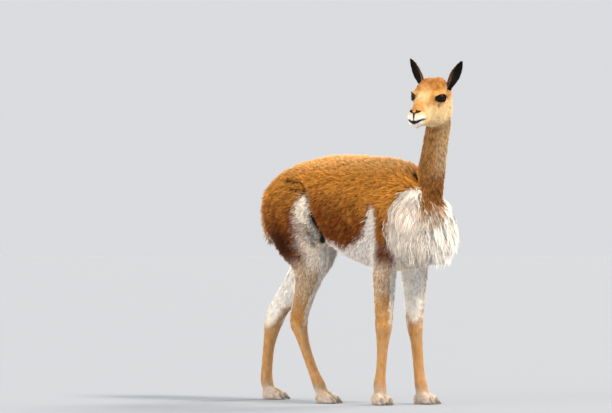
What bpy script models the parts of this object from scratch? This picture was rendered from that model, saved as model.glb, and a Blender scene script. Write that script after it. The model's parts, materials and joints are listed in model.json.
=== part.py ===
"""A life-size standing vicuna: it faces +X, its head is turned to its right, and it stands on z = 0."""

import math
import random

import bmesh
import bpy
import numpy as np
from mathutils import Matrix, Vector
from mathutils.bvhtree import BVHTree

# Driving sizes, in metres. Heights are above the floor.
GAP = 0.0003
HALF_GAP = GAP / 2
EYE_HEIGHT = 1.064
EYE_RADIUS = 0.0195
LID_THICKNESS = 0.0028
EYE_SPREAD = 0.0430
EYE_TURN_OUT = math.radians(52)
HEAD_HEADING = math.radians(-78)
HEAD_ROLL = math.radians(4)
HEAD_ORIGIN = Vector((0.3846, -0.1088, EYE_HEIGHT))
FRONT_LEG_Y = 0.072
HIND_LEG_Y = 0.080

# The planes that part the body: a point on each, and its normal.
HIND_CUT = (Vector((0.0, 0.0, 0.490)), Vector((0.516, 0.0, 1.0)).normalized())
FRONT_CUT = (Vector((0.0, 0.0, 0.462)), Vector((0.0, 0.0, 1.0)))
NECK_CUT = (Vector((0.325, 0.0, 0.805)), Vector((0.50, 0.0, 0.87)).normalized())
GASKIN_CUT_Z = 0.440
HOCK_CUT_Z = 0.290
CARPUS_CUT_Z = 0.262
FETLOCK_CUT_Z = 0.074

BLEND_VOXEL = 0.009
BLEND_SMOOTHING = 7

UP = Vector((0, 0, 1))
SIDE = Vector((0, 1, 0))
FORWARD = Vector((1, 0, 0))


def clear_scene():
    for old in list(bpy.data.objects):
        bpy.data.objects.remove(old, do_unlink=True)


def coat_material(name, colour, roughness=0.85):
    made = bpy.data.materials.new(name)
    made.use_nodes = True
    shader = made.node_tree.nodes["Principled BSDF"]
    shader.inputs["Base Color"].default_value = (*colour, 1.0)
    shader.inputs["Roughness"].default_value = roughness
    shader.inputs["Metallic"].default_value = 0.0
    return made


def object_from(name, bm):
    """A new object in the scene that holds the bmesh, which is freed."""
    bmesh.ops.recalc_face_normals(bm, faces=bm.faces)
    mesh = bpy.data.meshes.new(name)
    bm.to_mesh(mesh)
    bm.free()
    made = bpy.data.objects.new(name, mesh)
    bpy.context.scene.collection.objects.link(made)
    return made


def bmesh_of(obj):
    bm = bmesh.new()
    bm.from_mesh(obj.data)
    return bm


def apply_modifiers(obj):
    """Replaces the object's mesh by the one its modifiers make."""
    graph = bpy.context.evaluated_depsgraph_get()
    graph.update()
    made = bpy.data.meshes.new_from_object(obj.evaluated_get(graph))
    obj.modifiers.clear()
    obj.data = made
    return obj


def remove(obj):
    bpy.data.objects.remove(obj, do_unlink=True)


def copy_of(obj, name):
    made = obj.copy()
    made.data = obj.data.copy()
    made.name = name
    bpy.context.scene.collection.objects.link(made)
    return made


def keep_largest(obj):
    """Drops every closed surface of the object but the one with the most volume."""
    bm = bmesh_of(obj)
    bm.verts.ensure_lookup_table()
    unseen = set(bm.verts)
    shells = []
    while unseen:
        shell, front = [], [unseen.pop()]
        while front:
            vert = front.pop()
            shell.append(vert)
            for edge in vert.link_edges:
                other = edge.other_vert(vert)
                if other in unseen:
                    unseen.remove(other)
                    front.append(other)
        faces = {face for vert in shell for face in vert.link_faces}
        volume = sum(
            face.normal.dot(face.calc_center_median()) * face.calc_area() for face in faces
        )
        shells.append((abs(volume), shell))
    shells.sort(key=lambda pair: pair[0])
    for _, shell in shells[:-1]:
        bmesh.ops.delete(bm, geom=shell, context="VERTS")
    bm.to_mesh(obj.data)
    bm.free()
    return obj


def boolean(obj, operation, tools, solver="EXACT"):
    """Joins or cuts the object with closed mesh objects, which are removed."""
    group = bpy.data.collections.new("tools")
    bpy.context.scene.collection.children.link(group)
    for tool in tools:
        for owner in list(tool.users_collection):
            owner.objects.unlink(tool)
        group.objects.link(tool)
    modifier = obj.modifiers.new("join", "BOOLEAN")
    modifier.operation = operation
    modifier.operand_type = "COLLECTION"
    modifier.collection = group
    modifier.solver = solver
    apply_modifiers(obj)
    for tool in list(group.objects):
        remove(tool)
    bpy.data.collections.remove(group)
    return keep_largest(obj)


def union(obj, tools, solver="EXACT"):
    return boolean(obj, "UNION", tools, solver)


def cut_away(obj, point, normal, gap=HALF_GAP):
    """Removes what lies on the normal's side of the plane, and half the gap more, and closes the cut."""
    bm = bmesh_of(obj)
    bmesh.ops.bisect_plane(
        bm,
        geom=bm.verts[:] + bm.edges[:] + bm.faces[:],
        plane_co=point - normal * gap,
        plane_no=normal,
        clear_outer=True,
    )
    rim = [edge for edge in bm.edges if edge.is_boundary]
    bmesh.ops.holes_fill(bm, edges=rim)
    bmesh.ops.triangulate(bm, faces=bm.faces[:])
    bm.to_mesh(obj.data)
    bm.free()
    return obj


def decimate(obj, triangles):
    """Brings the mesh down to about this many triangles."""
    obj.data.calc_loop_triangles()
    now = len(obj.data.loop_triangles)
    modifier = obj.modifiers.new("thin", "DECIMATE")
    modifier.ratio = min(1.0, triangles / now)
    modifier.use_collapse_triangulate = True
    return apply_modifiers(obj)


def spline_rows(rows, count):
    """Rows of numbers read at even steps from a smooth curve through the given ones."""
    rows = np.array(rows, float)
    chords = np.linalg.norm(np.diff(rows[:, :3], axis=0), axis=1) ** 0.5
    at = np.concatenate([[0], np.cumsum(chords)])
    padded = np.concatenate([[2 * rows[0] - rows[1]], rows, [2 * rows[-1] - rows[-2]]])
    out = []
    for place in np.linspace(0, at[-1], count):
        i = min(int(np.searchsorted(at, place, side="right")) - 1, len(rows) - 2)
        t = (place - at[i]) / (at[i + 1] - at[i])
        a, b, c, d = padded[i : i + 4]
        out.append(
            0.5 * (2 * b + (c - a) * t + (2 * a - 5 * b + 4 * c - d) * t**2 + (3 * b - a - 3 * c + d) * t**3)
        )
    return np.array(out)


def section(centre, side, up, half_width, rise, drop, power, sides):
    """A closed ring: an ellipse-like outline, rounder or squarer by its power."""
    points = []
    for i in range(sides):
        angle = 2 * math.pi * i / sides
        c, s = math.cos(angle), math.sin(angle)
        across = math.copysign(abs(c) ** (2 / power), c) * half_width
        height = math.copysign(abs(s) ** (2 / power), s) * (rise if s > 0 else drop)
        points.append(centre + side * across + up * height)
    return points


def loft(name, rings):
    """A closed solid through rings of equal count."""
    bm = bmesh.new()
    made = [[bm.verts.new(point) for point in ring] for ring in rings]
    for first, second in zip(made, made[1:]):
        for i in range(len(first)):
            j = (i + 1) % len(first)
            bm.faces.new((first[i], first[j], second[j], second[i]))
    bm.faces.new(list(reversed(made[0])))
    bm.faces.new(made[-1])
    bmesh.ops.triangulate(bm, faces=bm.faces[:])
    return object_from(name, bm)


# Trunk rows: x, height of the top, of the bottom and of the widest level, half width.
TRUNK = [
    (-0.380, 0.706, 0.640, 0.680, 0.020),
    (-0.372, 0.735, 0.600, 0.688, 0.064),
    (-0.346, 0.776, 0.572, 0.695, 0.102),
    (-0.298, 0.815, 0.563, 0.700, 0.132),
    (-0.220, 0.849, 0.562, 0.705, 0.148),
    (-0.120, 0.867, 0.548, 0.706, 0.153),
    (0.000, 0.870, 0.500, 0.690, 0.152),
    (0.090, 0.864, 0.474, 0.680, 0.148),
    (0.170, 0.856, 0.464, 0.675, 0.142),
    (0.250, 0.832, 0.470, 0.665, 0.128),
    (0.310, 0.780, 0.496, 0.655, 0.108),
    (0.352, 0.725, 0.535, 0.650, 0.078),
    (0.376, 0.680, 0.600, 0.640, 0.035),
]
TRUNK_POWER = 2.15


def trunk(sides=40, count=40):
    rings = []
    for x, top, bottom, level, half_width in spline_rows(TRUNK, count):
        rings.append(
            section(
                Vector((x, 0, level)), SIDE, UP, half_width, top - level, level - bottom, TRUNK_POWER, sides
            )
        )
    return loft("trunk", rings)


def tube(name, rows, sides, count, power=2.0):
    """A limb: rows of x, y, z, half depth fore and aft, half width across."""
    rows = spline_rows(rows, count)
    rings = []
    for i, row in enumerate(rows):
        before, after = rows[max(i - 1, 0)], rows[min(i + 1, count - 1)]
        along = Vector(after[:3] - before[:3]).normalized()
        fore = SIDE.cross(along).normalized()
        across = along.cross(fore).normalized()
        rings.append(section(Vector(row[:3]), across, fore, row[4], row[3], row[3], power, sides))
    return loft(name, rings)


NECK = [
    (0.245, 0.000, 0.640, 0.110, 0.090),
    (0.284, 0.000, 0.720, 0.086, 0.076),
    (0.316, 0.000, 0.785, 0.060, 0.056),
    (0.329, 0.000, 0.840, 0.050, 0.0440),
    (0.340, 0.000, 0.900, 0.0465, 0.0415),
    (0.350, 0.000, 0.960, 0.0460, 0.0420),
    (0.357, -0.002, 1.010, 0.0465, 0.0440),
    (0.361, -0.005, 1.055, 0.0450, 0.0430),
    (0.362, -0.008, 1.085, 0.0360, 0.0350),
]

# Leg rows: x, outward shift from the leg's own line, height, half depth, half width.
FRONT_RIGHT = [
    (0.212, 0.004, 0.690, 0.085, 0.060),
    (0.196, 0.006, 0.610, 0.078, 0.058),
    (0.180, 0.002, 0.530, 0.060, 0.050),
    (0.174, 0.000, 0.4725, 0.0475, 0.0430),
    (0.173, 0.000, 0.396, 0.0415, 0.0395),
    (0.172, 0.000, 0.340, 0.0370, 0.0350),
    (0.171, 0.000, 0.300, 0.0340, 0.0325),
    (0.171, 0.000, 0.268, 0.0320, 0.0305),
    (0.168, 0.000, 0.235, 0.0260, 0.0250),
    (0.165, 0.000, 0.190, 0.0210, 0.0210),
    (0.160, 0.000, 0.130, 0.0190, 0.0195),
    (0.156, 0.000, 0.095, 0.0205, 0.0210),
    (0.154, 0.000, 0.070, 0.0240, 0.0240),
    (0.157, 0.000, 0.040, 0.0230, 0.0235),
    (0.162, 0.000, 0.016, 0.0240, 0.0250),
]
FRONT_LEFT = [
    (0.225, 0.004, 0.690, 0.085, 0.060),
    (0.213, 0.006, 0.610, 0.080, 0.058),
    (0.203, 0.002, 0.530, 0.064, 0.050),
    (0.197, 0.000, 0.4725, 0.0530, 0.0450),
    (0.197, 0.000, 0.396, 0.0440, 0.0400),
    (0.196, 0.000, 0.340, 0.0375, 0.0345),
    (0.196, 0.000, 0.300, 0.0330, 0.0315),
    (0.199, 0.000, 0.268, 0.0300, 0.0290),
    (0.205, 0.000, 0.225, 0.0235, 0.0235),
    (0.210, 0.000, 0.180, 0.0215, 0.0215),
    (0.215, 0.000, 0.130, 0.0205, 0.0205),
    (0.219, 0.000, 0.095, 0.0210, 0.0215),
    (0.224, 0.000, 0.070, 0.0235, 0.0235),
    (0.231, 0.000, 0.040, 0.0230, 0.0235),
    (0.239, 0.000, 0.016, 0.0240, 0.0250),
]
HIND_RIGHT = [
    (-0.240, -0.008, 0.740, 0.115, 0.060),
    (-0.232, 0.000, 0.670, 0.120, 0.068),
    (-0.202, 0.004, 0.604, 0.111, 0.070),
    (-0.162, 0.006, 0.546, 0.098, 0.064),
    (-0.146, 0.006, 0.497, 0.080, 0.056),
    (-0.146, 0.005, 0.460, 0.064, 0.050),
    (-0.155, 0.004, 0.420, 0.0505, 0.0430),
    (-0.168, 0.003, 0.380, 0.0425, 0.0380),
    (-0.183, 0.002, 0.335, 0.0380, 0.0340),
    (-0.194, 0.001, 0.300, 0.0370, 0.0320),
    (-0.194, 0.000, 0.272, 0.0340, 0.0295),
    (-0.184, 0.000, 0.240, 0.0255, 0.0245),
    (-0.166, 0.000, 0.190, 0.0200, 0.0205),
    (-0.140, 0.000, 0.130, 0.0190, 0.0200),
    (-0.123, 0.000, 0.095, 0.0200, 0.0210),
    (-0.109, 0.000, 0.070, 0.0235, 0.0235),
    (-0.094, 0.000, 0.040, 0.0230, 0.0235),
    (-0.080, 0.000, 0.016, 0.0240, 0.0250),
]
HIND_LEFT = [
    (-0.250, -0.008, 0.740, 0.110, 0.060),
    (-0.250, 0.000, 0.670, 0.116, 0.068),
    (-0.247, 0.004, 0.604, 0.112, 0.070),
    (-0.248, 0.006, 0.546, 0.096, 0.064),
    (-0.270, 0.004, 0.490, 0.078, 0.054),
    (-0.304, 0.002, 0.440, 0.064, 0.046),
    (-0.346, 0.000, 0.395, 0.0500, 0.0400),
    (-0.388, -0.002, 0.350, 0.0420, 0.0355),
    (-0.418, -0.004, 0.312, 0.0395, 0.0330),
    (-0.431, -0.005, 0.280, 0.0380, 0.0310),
    (-0.440, -0.006, 0.245, 0.0300, 0.0265),
    (-0.451, -0.008, 0.190, 0.0230, 0.0220),
    (-0.457, -0.010, 0.130, 0.0220, 0.0210),
    (-0.459, -0.011, 0.095, 0.0225, 0.0220),
    (-0.458, -0.012, 0.070, 0.0240, 0.0240),
    (-0.450, -0.012, 0.040, 0.0230, 0.0235),
    (-0.438, -0.012, 0.016, 0.0240, 0.0250),
]


def placed(rows, leg_y):
    """A leg's rows with the outward shift turned into a y, on the side that leg_y has."""
    outward = math.copysign(1, leg_y)
    return [(x, leg_y + outward * shift, z, depth, width) for x, shift, z, depth, width in rows]


LEGS = {
    "front_right": placed(FRONT_RIGHT, -FRONT_LEG_Y),
    "front_left": placed(FRONT_LEFT, FRONT_LEG_Y),
    "hind_right": placed(HIND_RIGHT, -HIND_LEG_Y),
    "hind_left": placed(HIND_LEFT, HIND_LEG_Y),
}

# Each foot: its middle on the floor, and how far its toes turn out from straight ahead.
FEET = {
    "front_right": (Vector((0.160, -0.074, 0)), math.radians(-25)),
    "front_left": (Vector((0.241, 0.074, 0)), math.radians(-6)),
    "hind_right": (Vector((-0.071, -0.082, 0)), math.radians(-5)),
    "hind_left": (Vector((-0.427, 0.069, 0)), math.radians(3)),
}

# Head rows: forward from the eyes, top, bottom and widest level above the eyes, half width.
HEAD = [
    (0.1030, -0.0500, -0.0640, -0.0570, 0.0060),
    (0.1015, -0.0430, -0.0760, -0.0600, 0.0150),
    (0.0970, -0.0385, -0.0890, -0.0660, 0.0220),
    (0.0880, -0.0340, -0.0985, -0.0710, 0.0270),
    (0.0740, -0.0270, -0.1015, -0.0730, 0.0295),
    (0.0560, -0.0150, -0.0995, -0.0700, 0.0320),
    (0.0350, 0.0020, -0.0975, -0.0560, 0.0375),
    (0.0130, 0.0240, -0.0965, -0.0350, 0.0460),
    (-0.0100, 0.0450, -0.0975, -0.0200, 0.0520),
    (-0.0350, 0.0600, -0.1000, -0.0120, 0.0535),
    (-0.0620, 0.0690, -0.1000, -0.0040, 0.0520),
    (-0.0880, 0.0665, -0.0900, 0.0060, 0.0485),
    (-0.1120, 0.0540, -0.0700, 0.0100, 0.0420),
    (-0.1300, 0.0340, -0.0450, 0.0060, 0.0290),
    (-0.1380, 0.0120, -0.0200, 0.0000, 0.0120),
]
HEAD_POWER = 2.25
HEAD_CUT = (Vector((-0.066, 0.0, -0.108)), Vector((0.72, 0.0, 0.69)).normalized())


def head_matrix():
    """From the head's own axes, forward x, left y and up z from between the eyes, to the body's."""
    return (
        Matrix.Translation(HEAD_ORIGIN)
        @ Matrix.Rotation(HEAD_HEADING, 4, "Z")
        @ Matrix.Rotation(-HEAD_ROLL, 4, "X")
    )


def skull(sides=32, count=34):
    rings = []
    for x, top, bottom, level, half_width in spline_rows(HEAD, count):
        rings.append(
            section(
                Vector((x, 0, level)), SIDE, UP, half_width, top - level, level - bottom, HEAD_POWER, sides
            )
        )
    return loft("skull", rings)


# One toe, along its own x: place, top, bottom, half width.
TOE = [
    (-0.041, 0.022, 0.010, 0.004),
    (-0.036, 0.034, 0.000, 0.0110),
    (-0.022, 0.044, -0.003, 0.0140),
    (0.000, 0.045, -0.003, 0.0148),
    (0.020, 0.037, -0.003, 0.0146),
    (0.036, 0.028, -0.003, 0.0128),
    (0.047, 0.019, 0.0012, 0.0090),
    (0.055, 0.012, 0.0018, 0.0052),
    (0.060, 0.007, 0.0030, 0.0016),
]
TOE_OFFSET = 0.0142
TOE_SPLAY = 0.05
NAIL_CUT = (Vector((0.032, 0.0, 0.030)), Vector((0.86, 0.0, 0.51)).normalized())


def toe(name, hand, sides=7, count=7):
    rings = []
    for x, top, bottom, half_width in spline_rows(TOE, count):
        level = bottom + (top - bottom) * 0.42
        centre = Vector((x, hand * (TOE_OFFSET + TOE_SPLAY * x), level))
        rings.append(section(centre, SIDE, UP, half_width, top - level, level - bottom, 2.3, sides))
    return loft(name, rings)


def kept(obj, name, *cuts):
    """A copy of the object that keeps what lies under each plane."""
    made = copy_of(obj, name)
    for point, normal in cuts:
        cut_away(made, point, normal)
    return keep_largest(made)


def foot_parts(name, leg):
    """The foot, and its two nails, from the lower end of the leg and two toes."""
    middle, yaw = FEET[name]
    place = Matrix.Translation(middle) @ Matrix.Rotation(yaw, 4, "Z")
    foot = kept(leg, name + "_foot", (Vector((0, 0, FETLOCK_CUT_Z)), UP))
    toes, nails = [], []
    for label, hand in (("left", 1), ("right", -1)):
        whole = toe("whole_toe", hand)
        nail = copy_of(whole, name + "_nail_" + label)
        cut_away(nail, NAIL_CUT[0], -NAIL_CUT[1])
        nail.data.transform(place)
        nails.append(nail)
        cut_away(whole, *NAIL_CUT)
        whole.data.transform(place)
        toes.append(whole)
    union(foot, toes)
    cut_away(foot, Vector((0, 0, 0)), -UP, 0.0)
    return foot, nails


# Ear rows: distance along, half width, depth of the cup, thickness, backward bend.
EAR = [
    (0.000, 0.0105, 0.0000, 0.0110, 0.000),
    (0.018, 0.0130, 0.0008, 0.0105, 0.000),
    (0.034, 0.0160, 0.0040, 0.0080, 0.000),
    (0.052, 0.0182, 0.0090, 0.0044, 0.000),
    (0.072, 0.0174, 0.0100, 0.0030, 0.001),
    (0.088, 0.0140, 0.0080, 0.0026, 0.002),
    (0.103, 0.0090, 0.0048, 0.0024, 0.003),
    (0.114, 0.0038, 0.0017, 0.0022, 0.004),
    (0.118, 0.0010, 0.0003, 0.0012, 0.0045),
]

# Each ear: the way it stands, the way its hollow looks and its root, in the head's axes.
EAR_LEFT = (Vector((-0.10, 0.48, 1.0)), Vector((0.80, 0.60, 0.0)), Vector((-0.062, 0.0415, 0.018)))
EAR_RIGHT = (Vector((-0.06, -0.70, 1.0)), Vector((0.90, -0.30, 0.0)), Vector((-0.061, -0.0380, 0.026)))


def ear(name, stance, sides=6, count=11):
    """A cupped leaf that stands on the head: its hollow looks out and forward."""
    axis, facing, base = stance
    axis = axis.normalized()
    facing = (facing - axis * facing.dot(axis)).normalized()
    across = axis.cross(facing).normalized()
    rings = []
    for along, half_width, cup, thickness, bend in spline_rows(EAR, count):
        outer, inner = [], []
        for i in range(sides):
            t = -1 + 2 * i / (sides - 1)
            curve = 1 - t * t
            wall = thickness * (0.35 + 0.65 * curve)
            back = -cup * curve - bend
            place = base + axis * along + across * (half_width * t)
            outer.append(place + facing * (back - wall * 0.5))
            if 0 < i < sides - 1:
                inner.append(place + facing * (back + wall * 0.5))
        rings.append(outer + list(reversed(inner)))
    made = loft(name, rings)
    made.data.transform(head_matrix())
    return made


def ball(name, radius, matrix, segments=16, rings=10):
    bm = bmesh.new()
    bmesh.ops.create_uvsphere(bm, u_segments=segments, v_segments=rings, radius=radius)
    bmesh.ops.triangulate(bm, faces=bm.faces[:])
    bmesh.ops.transform(bm, matrix=matrix, verts=bm.verts)
    return object_from(name, bm)


def blob(name, centre, radii, turn=None, segments=16, rings=10):
    """An ellipsoid with its three half sizes, turned by the matrix if one is given."""
    matrix = Matrix.Translation(centre) @ (turn or Matrix.Identity(4)) @ Matrix.Diagonal((*radii, 1.0))
    return ball(name, 1.0, matrix, segments, rings)


def grown(obj, distance):
    """A copy of the object with its surface moved outward."""
    made = copy_of(obj, obj.name + "_grown")
    bm = bmesh_of(made)
    bm.normal_update()
    moves = [(vert, vert.co + vert.normal * distance * 1.25) for vert in bm.verts]
    for vert, co in moves:
        vert.co = co
    bm.to_mesh(made.data)
    bm.free()
    return made


def blended(name, first, others, voxel, smoothing):
    """One skin around closed objects that overlap, with the creases between them softened."""
    union(first, others, "MANIFOLD")
    remesh = first.modifiers.new("blend", "REMESH")
    remesh.mode = "VOXEL"
    remesh.voxel_size = voxel
    apply_modifiers(first)
    smooth = first.modifiers.new("soften", "SMOOTH")
    smooth.factor = 0.5
    smooth.iterations = smoothing
    apply_modifiers(first)
    first.name = name
    return keep_largest(first)


def eye_place(hand):
    """The eyeball's middle and its outward axis, in the head's axes."""
    centre = Vector((-0.010, hand * EYE_SPREAD, -0.004))
    axis = Vector((math.cos(EYE_TURN_OUT), hand * math.sin(EYE_TURN_OUT), 0.06)).normalized()
    return centre, axis


def almond(name, hand):
    """A cutter shaped like the opening between the lids, pointing along the eye's axis."""
    centre, axis = eye_place(hand)
    ahead = UP.cross(axis) * -hand
    ahead = (ahead - axis * ahead.dot(axis)).normalized()
    lift = axis.cross(ahead) if axis.cross(ahead).z > 0 else ahead.cross(axis)
    rings = []
    for depth, grow in ((0.0120, 1.0), (0.034, 1.12)):
        ring = []
        for i in range(12):
            angle = 2 * math.pi * i / 12
            c, s = math.cos(angle), math.sin(angle)
            wide = 0.0160 * grow * c
            high = (0.0125 if s > 0 else 0.0118) * grow * s * (abs(s) ** 0.25)
            high -= 0.0016 * c
            ring.append(centre + axis * depth + ahead * wide + lift * high)
        rings.append(ring)
    return loft(name, rings)


def head_with_face(neck_tube):
    """The head from its loft, the bulges over the eyes and jaws, the lids, nostrils and mouth."""
    head = skull()
    bulges = []
    for hand in (1, -1):
        centre, axis = eye_place(hand)
        out = Matrix.Rotation(hand * math.radians(12), 4, "Z")
        behind = centre + Vector((-0.012, -hand * 0.006, 0.000))
        bulges.append(blob("orbit", behind, (0.036, 0.0235, 0.029), out))
        above = centre + Vector((-0.006, -hand * 0.008, 0.014))
        bulges.append(blob("brow", above, (0.026, 0.019, 0.014), out))
        bulges.append(blob("cheek", Vector((-0.052, hand * 0.026, -0.052)), (0.044, 0.024, 0.040)))
        bulges.append(blob("lip", Vector((0.080, hand * 0.0125, -0.068)), (0.021, 0.0170, 0.018)))
        bulges.append(blob("nostril_rim", Vector((0.089, hand * 0.0105, -0.047)), (0.014, 0.0120, 0.010)))
    neck_top = copy_of(neck_tube, "neck_top")
    neck_top.data.transform(head_matrix().inverted())
    blended("head", head, bulges + [neck_top], 0.0040, 6)
    decimate(head, 880)
    cut_away(head, HEAD_CUT[0], -HEAD_CUT[1])
    keep_largest(head)
    lids = []
    for hand in (1, -1):
        centre, axis = eye_place(hand)
        lids.append(ball("lid", EYE_RADIUS + LID_THICKNESS, Matrix.Translation(centre), 14, 8))
    union(head, lids)
    openings = [almond("opening", hand) for hand in (1, -1)]
    boolean(head, "DIFFERENCE", openings)
    sockets = [
        ball("socket", EYE_RADIUS + GAP * 1.6, Matrix.Translation(eye_place(hand)[0]), 12, 8)
        for hand in (1, -1)
    ]
    boolean(head, "DIFFERENCE", sockets)
    boolean(head, "DIFFERENCE", face_cutters())
    head.data.transform(head_matrix())
    return head


def face_cutters():
    """The nostrils, the line of the mouth and the cleft of the upper lip, as closed solids."""
    cutters = []
    for hand in (1, -1):
        turn = Matrix.Rotation(hand * math.radians(28), 4, "Z") @ Matrix.Rotation(
            hand * math.radians(-24), 4, "X"
        )
        cutters.append(
            blob("nostril", Vector((0.1000, hand * 0.0125, -0.0475)), (0.010, 0.0072, 0.0030), turn, 12, 8)
        )
    rings = []
    for i in range(13):
        t = -1 + 2 * i / 12
        y = t * 0.0330
        x = 0.1120 - 0.050 * abs(t) ** 1.8
        z = -0.0800 + 0.0075 * abs(t) ** 1.6
        deep = 0.0115 if abs(t) < 0.9 else 0.009
        rings.append(
            [
                Vector((x - deep, y, z)),
                Vector((x + 0.02, y, z - 0.0024)),
                Vector((x + 0.02, y, z + 0.0024)),
            ]
        )
    cutters.append(loft("mouth_line", rings))
    cleft = [
        [Vector((x - 0.0045, 0, z)), Vector((x + 0.02, -0.0018, z)), Vector((x + 0.02, 0.0018, z))]
        for x, z in ((0.1010, -0.0540), (0.1035, -0.0620), (0.1040, -0.0700), (0.1030, -0.0785))
    ]
    cutters.append(loft("lip_cleft", cleft))
    return cutters


TAIL = [
    (-0.310, 0.000, 0.752, 0.018, 0.022),
    (-0.345, 0.000, 0.749, 0.022, 0.026),
    (-0.372, 0.000, 0.730, 0.024, 0.030),
    (-0.386, 0.000, 0.690, 0.024, 0.033),
    (-0.388, 0.000, 0.650, 0.023, 0.032),
    (-0.384, 0.000, 0.610, 0.018, 0.025),
    (-0.378, 0.000, 0.580, 0.007, 0.010),
]


# Each node's colour: fawn back, darker thighs, cream bib and feet, black eyes.
COLOURS = {
    "torso": (0.42, 0.21, 0.09),
    "neck": (0.40, 0.23, 0.12),
    "head": (0.52, 0.31, 0.14),
    "tail": (0.38, 0.22, 0.12),
    "ear": (0.06, 0.035, 0.02),
    "eye": (0.008, 0.006, 0.005),
    "upper": (0.42, 0.24, 0.12),
    "lower": (0.50, 0.28, 0.12),
    "foot": (0.48, 0.36, 0.24),
    "nail": (0.12, 0.10, 0.09),
}


def paint(obj, kind):
    glossy = {"eye": 0.08, "nail": 0.5}
    obj.data.materials.clear()
    obj.data.materials.append(coat_material(obj.name, COLOURS[kind], glossy.get(kind, 0.85)))


def flipped(plane):
    return plane[0], -plane[1]


# The coat: how far the skin lies under its tips, and the spacing and size of what grows on it.
COAT_INSET = 0.007
CLUMP_REAR_X = -0.345
CLUMP_FRONT_X = 0.270
CLUMP_SPACING = 0.083
CLUMP_TURN = 31
CLUMP_LENGTH = 0.056
CLUMP_WIDTH = 0.044
CLUMP_HEIGHT = 0.0100
BIB_LOCK_WIDTH = 0.040
BIB_LOCK_THICKNESS = 0.010


def smooth_step(low, high, value):
    t = min(1.0, max(0.0, (value - low) / (high - low)))
    return t * t * (3 - 2 * t)


def fleece_weight(spot):
    """How much fleece grows at a place on the body: 1 on back and flanks, 0 on legs and neck."""
    weight = smooth_step(0.43, 0.52, spot.z)
    if spot.x > 0.20:
        weight *= 1 - smooth_step(0.77, 0.82, spot.z - 0.4 * (0.33 - spot.x))
    return weight


def in_bib(spot):
    """True where the long hair of the chest hangs."""
    return spot.x > 0.225 + 0.25 * max(0.0, spot.z - 0.70) and spot.z < 0.775


def tree_of(obj):
    return BVHTree.FromPolygons(
        [vert.co.copy() for vert in obj.data.vertices], [tuple(face.vertices) for face in obj.data.polygons]
    )


def hair_lie(spot, normal):
    """The way the hair lies: back along the spine, down and back over the flanks."""
    lie = Vector((-0.75, 0.0, -0.35 - 0.8 * min(1.0, abs(spot.y) / 0.12)))
    lie = lie - normal * lie.dot(normal)
    return lie.normalized()


def clump(tree, draw, spot, normal, lie, length, width, height):
    """A rounded clump of fleece that follows the skin, its rim sunk in it, fuller the way it lies."""
    across = normal.cross(lie).normalized()
    phase = draw.uniform(0.0, 1.0)
    bumps = [draw.uniform(0.88, 1.12) for _ in range(6)]
    bm = bmesh.new()
    rings = []
    for depth, size, ahead in ((-0.012, 0.86, 0.0), (-0.004, 1.06, 0.0), (0.66 * height, 0.60, 0.10)):
        ring = []
        for i in range(6):
            angle = 2 * math.pi * (i + phase) / 6
            along = math.cos(angle) * size * bumps[i] + ahead
            side = math.sin(angle) * size * bumps[i] * (1 - 0.22 * math.cos(angle))
            place, facing, _, _ = tree.find_nearest(spot + lie * (length * along) + across * (width * side))
            ring.append(bm.verts.new(place + (facing + normal).normalized() * depth))
        rings.append(ring)
    top = bm.verts.new(spot + normal * height + lie * (length * 0.2))
    for low, high in zip(rings, rings[1:]):
        for i in range(6):
            j = (i + 1) % 6
            bm.faces.new((low[i], low[j], high[j], high[i]))
    for i in range(6):
        bm.faces.new((rings[2][i], rings[2][(i + 1) % 6], top))
    bm.faces.new(list(reversed(rings[0])))
    bmesh.ops.triangulate(bm, faces=bm.faces[:])
    return object_from("clump", bm)


def fleece_clumps(body):
    """Clumps in staggered rings round the trunk, from the spine down to the belly's edge."""
    tree = tree_of(body)
    draw = random.Random(11)
    clumps = []
    rings = int((CLUMP_FRONT_X - CLUMP_REAR_X) / CLUMP_SPACING) + 1
    for ring in range(rings):
        for step in range(-5, 6):
            turn = math.radians(CLUMP_TURN) * (step + 0.5 * (ring % 2) + draw.uniform(-0.14, 0.14))
            x = CLUMP_REAR_X + CLUMP_SPACING * (ring + draw.uniform(-0.14, 0.14))
            ray = Vector((0.0, math.sin(turn), math.cos(turn)))
            spot, normal, _, _ = tree.ray_cast(Vector((x, 0.0, 0.70)) + ray * 0.5, -ray)
            if spot is None or abs(turn) > math.radians(118) or in_bib(spot):
                continue
            if (spot - HIND_CUT[0]).dot(HIND_CUT[1]) < 0.030 or spot.z < 0.56 or fleece_weight(spot) < 0.8:
                continue
            length = CLUMP_LENGTH * draw.uniform(0.9, 1.1)
            height = CLUMP_HEIGHT * draw.uniform(0.8, 1.0)
            lie = hair_lie(spot, normal)
            width = CLUMP_WIDTH * draw.uniform(0.9, 1.1)
            clumps.append(clump(tree, draw, spot, normal, lie, length, width, height))
    return clumps


def hanging_lock(root, outward, length, width, thickness, sway, flare):
    """A flat tapered lock that leaves the chest at its root and hangs with its tip free."""
    across = UP.cross(outward).normalized()
    rings = []
    for t, out, full, thick in (
        (0.00, -0.016, 0.74, 1.00),
        (0.20, 0.006, 1.00, 1.00),
        (0.55, 0.011, 0.94, 0.85),
        (0.85, 0.010, 0.50, 0.56),
        (1.00, 0.008, 0.05, 0.14),
    ):
        centre = root - UP * (length * t) + outward * (out + flare * t * t) + across * (sway * t * t)
        half, deep = width * 0.5 * full, thickness * 0.5 * thick
        rings.append(section(centre, across, outward, half, deep, deep, 2.0, 4))
    return loft("lock", rings)


# Rows of bib locks: root height in front and at the side, tip height, how far round they go.
BIB_ROWS = [
    (0.575, 0.590, 0.474, 100, 13),
    (0.622, 0.655, 0.520, 106, 13),
    (0.668, 0.718, 0.575, 104, 11),
    (0.700, 0.756, 0.640, 98, 7),
]


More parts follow.
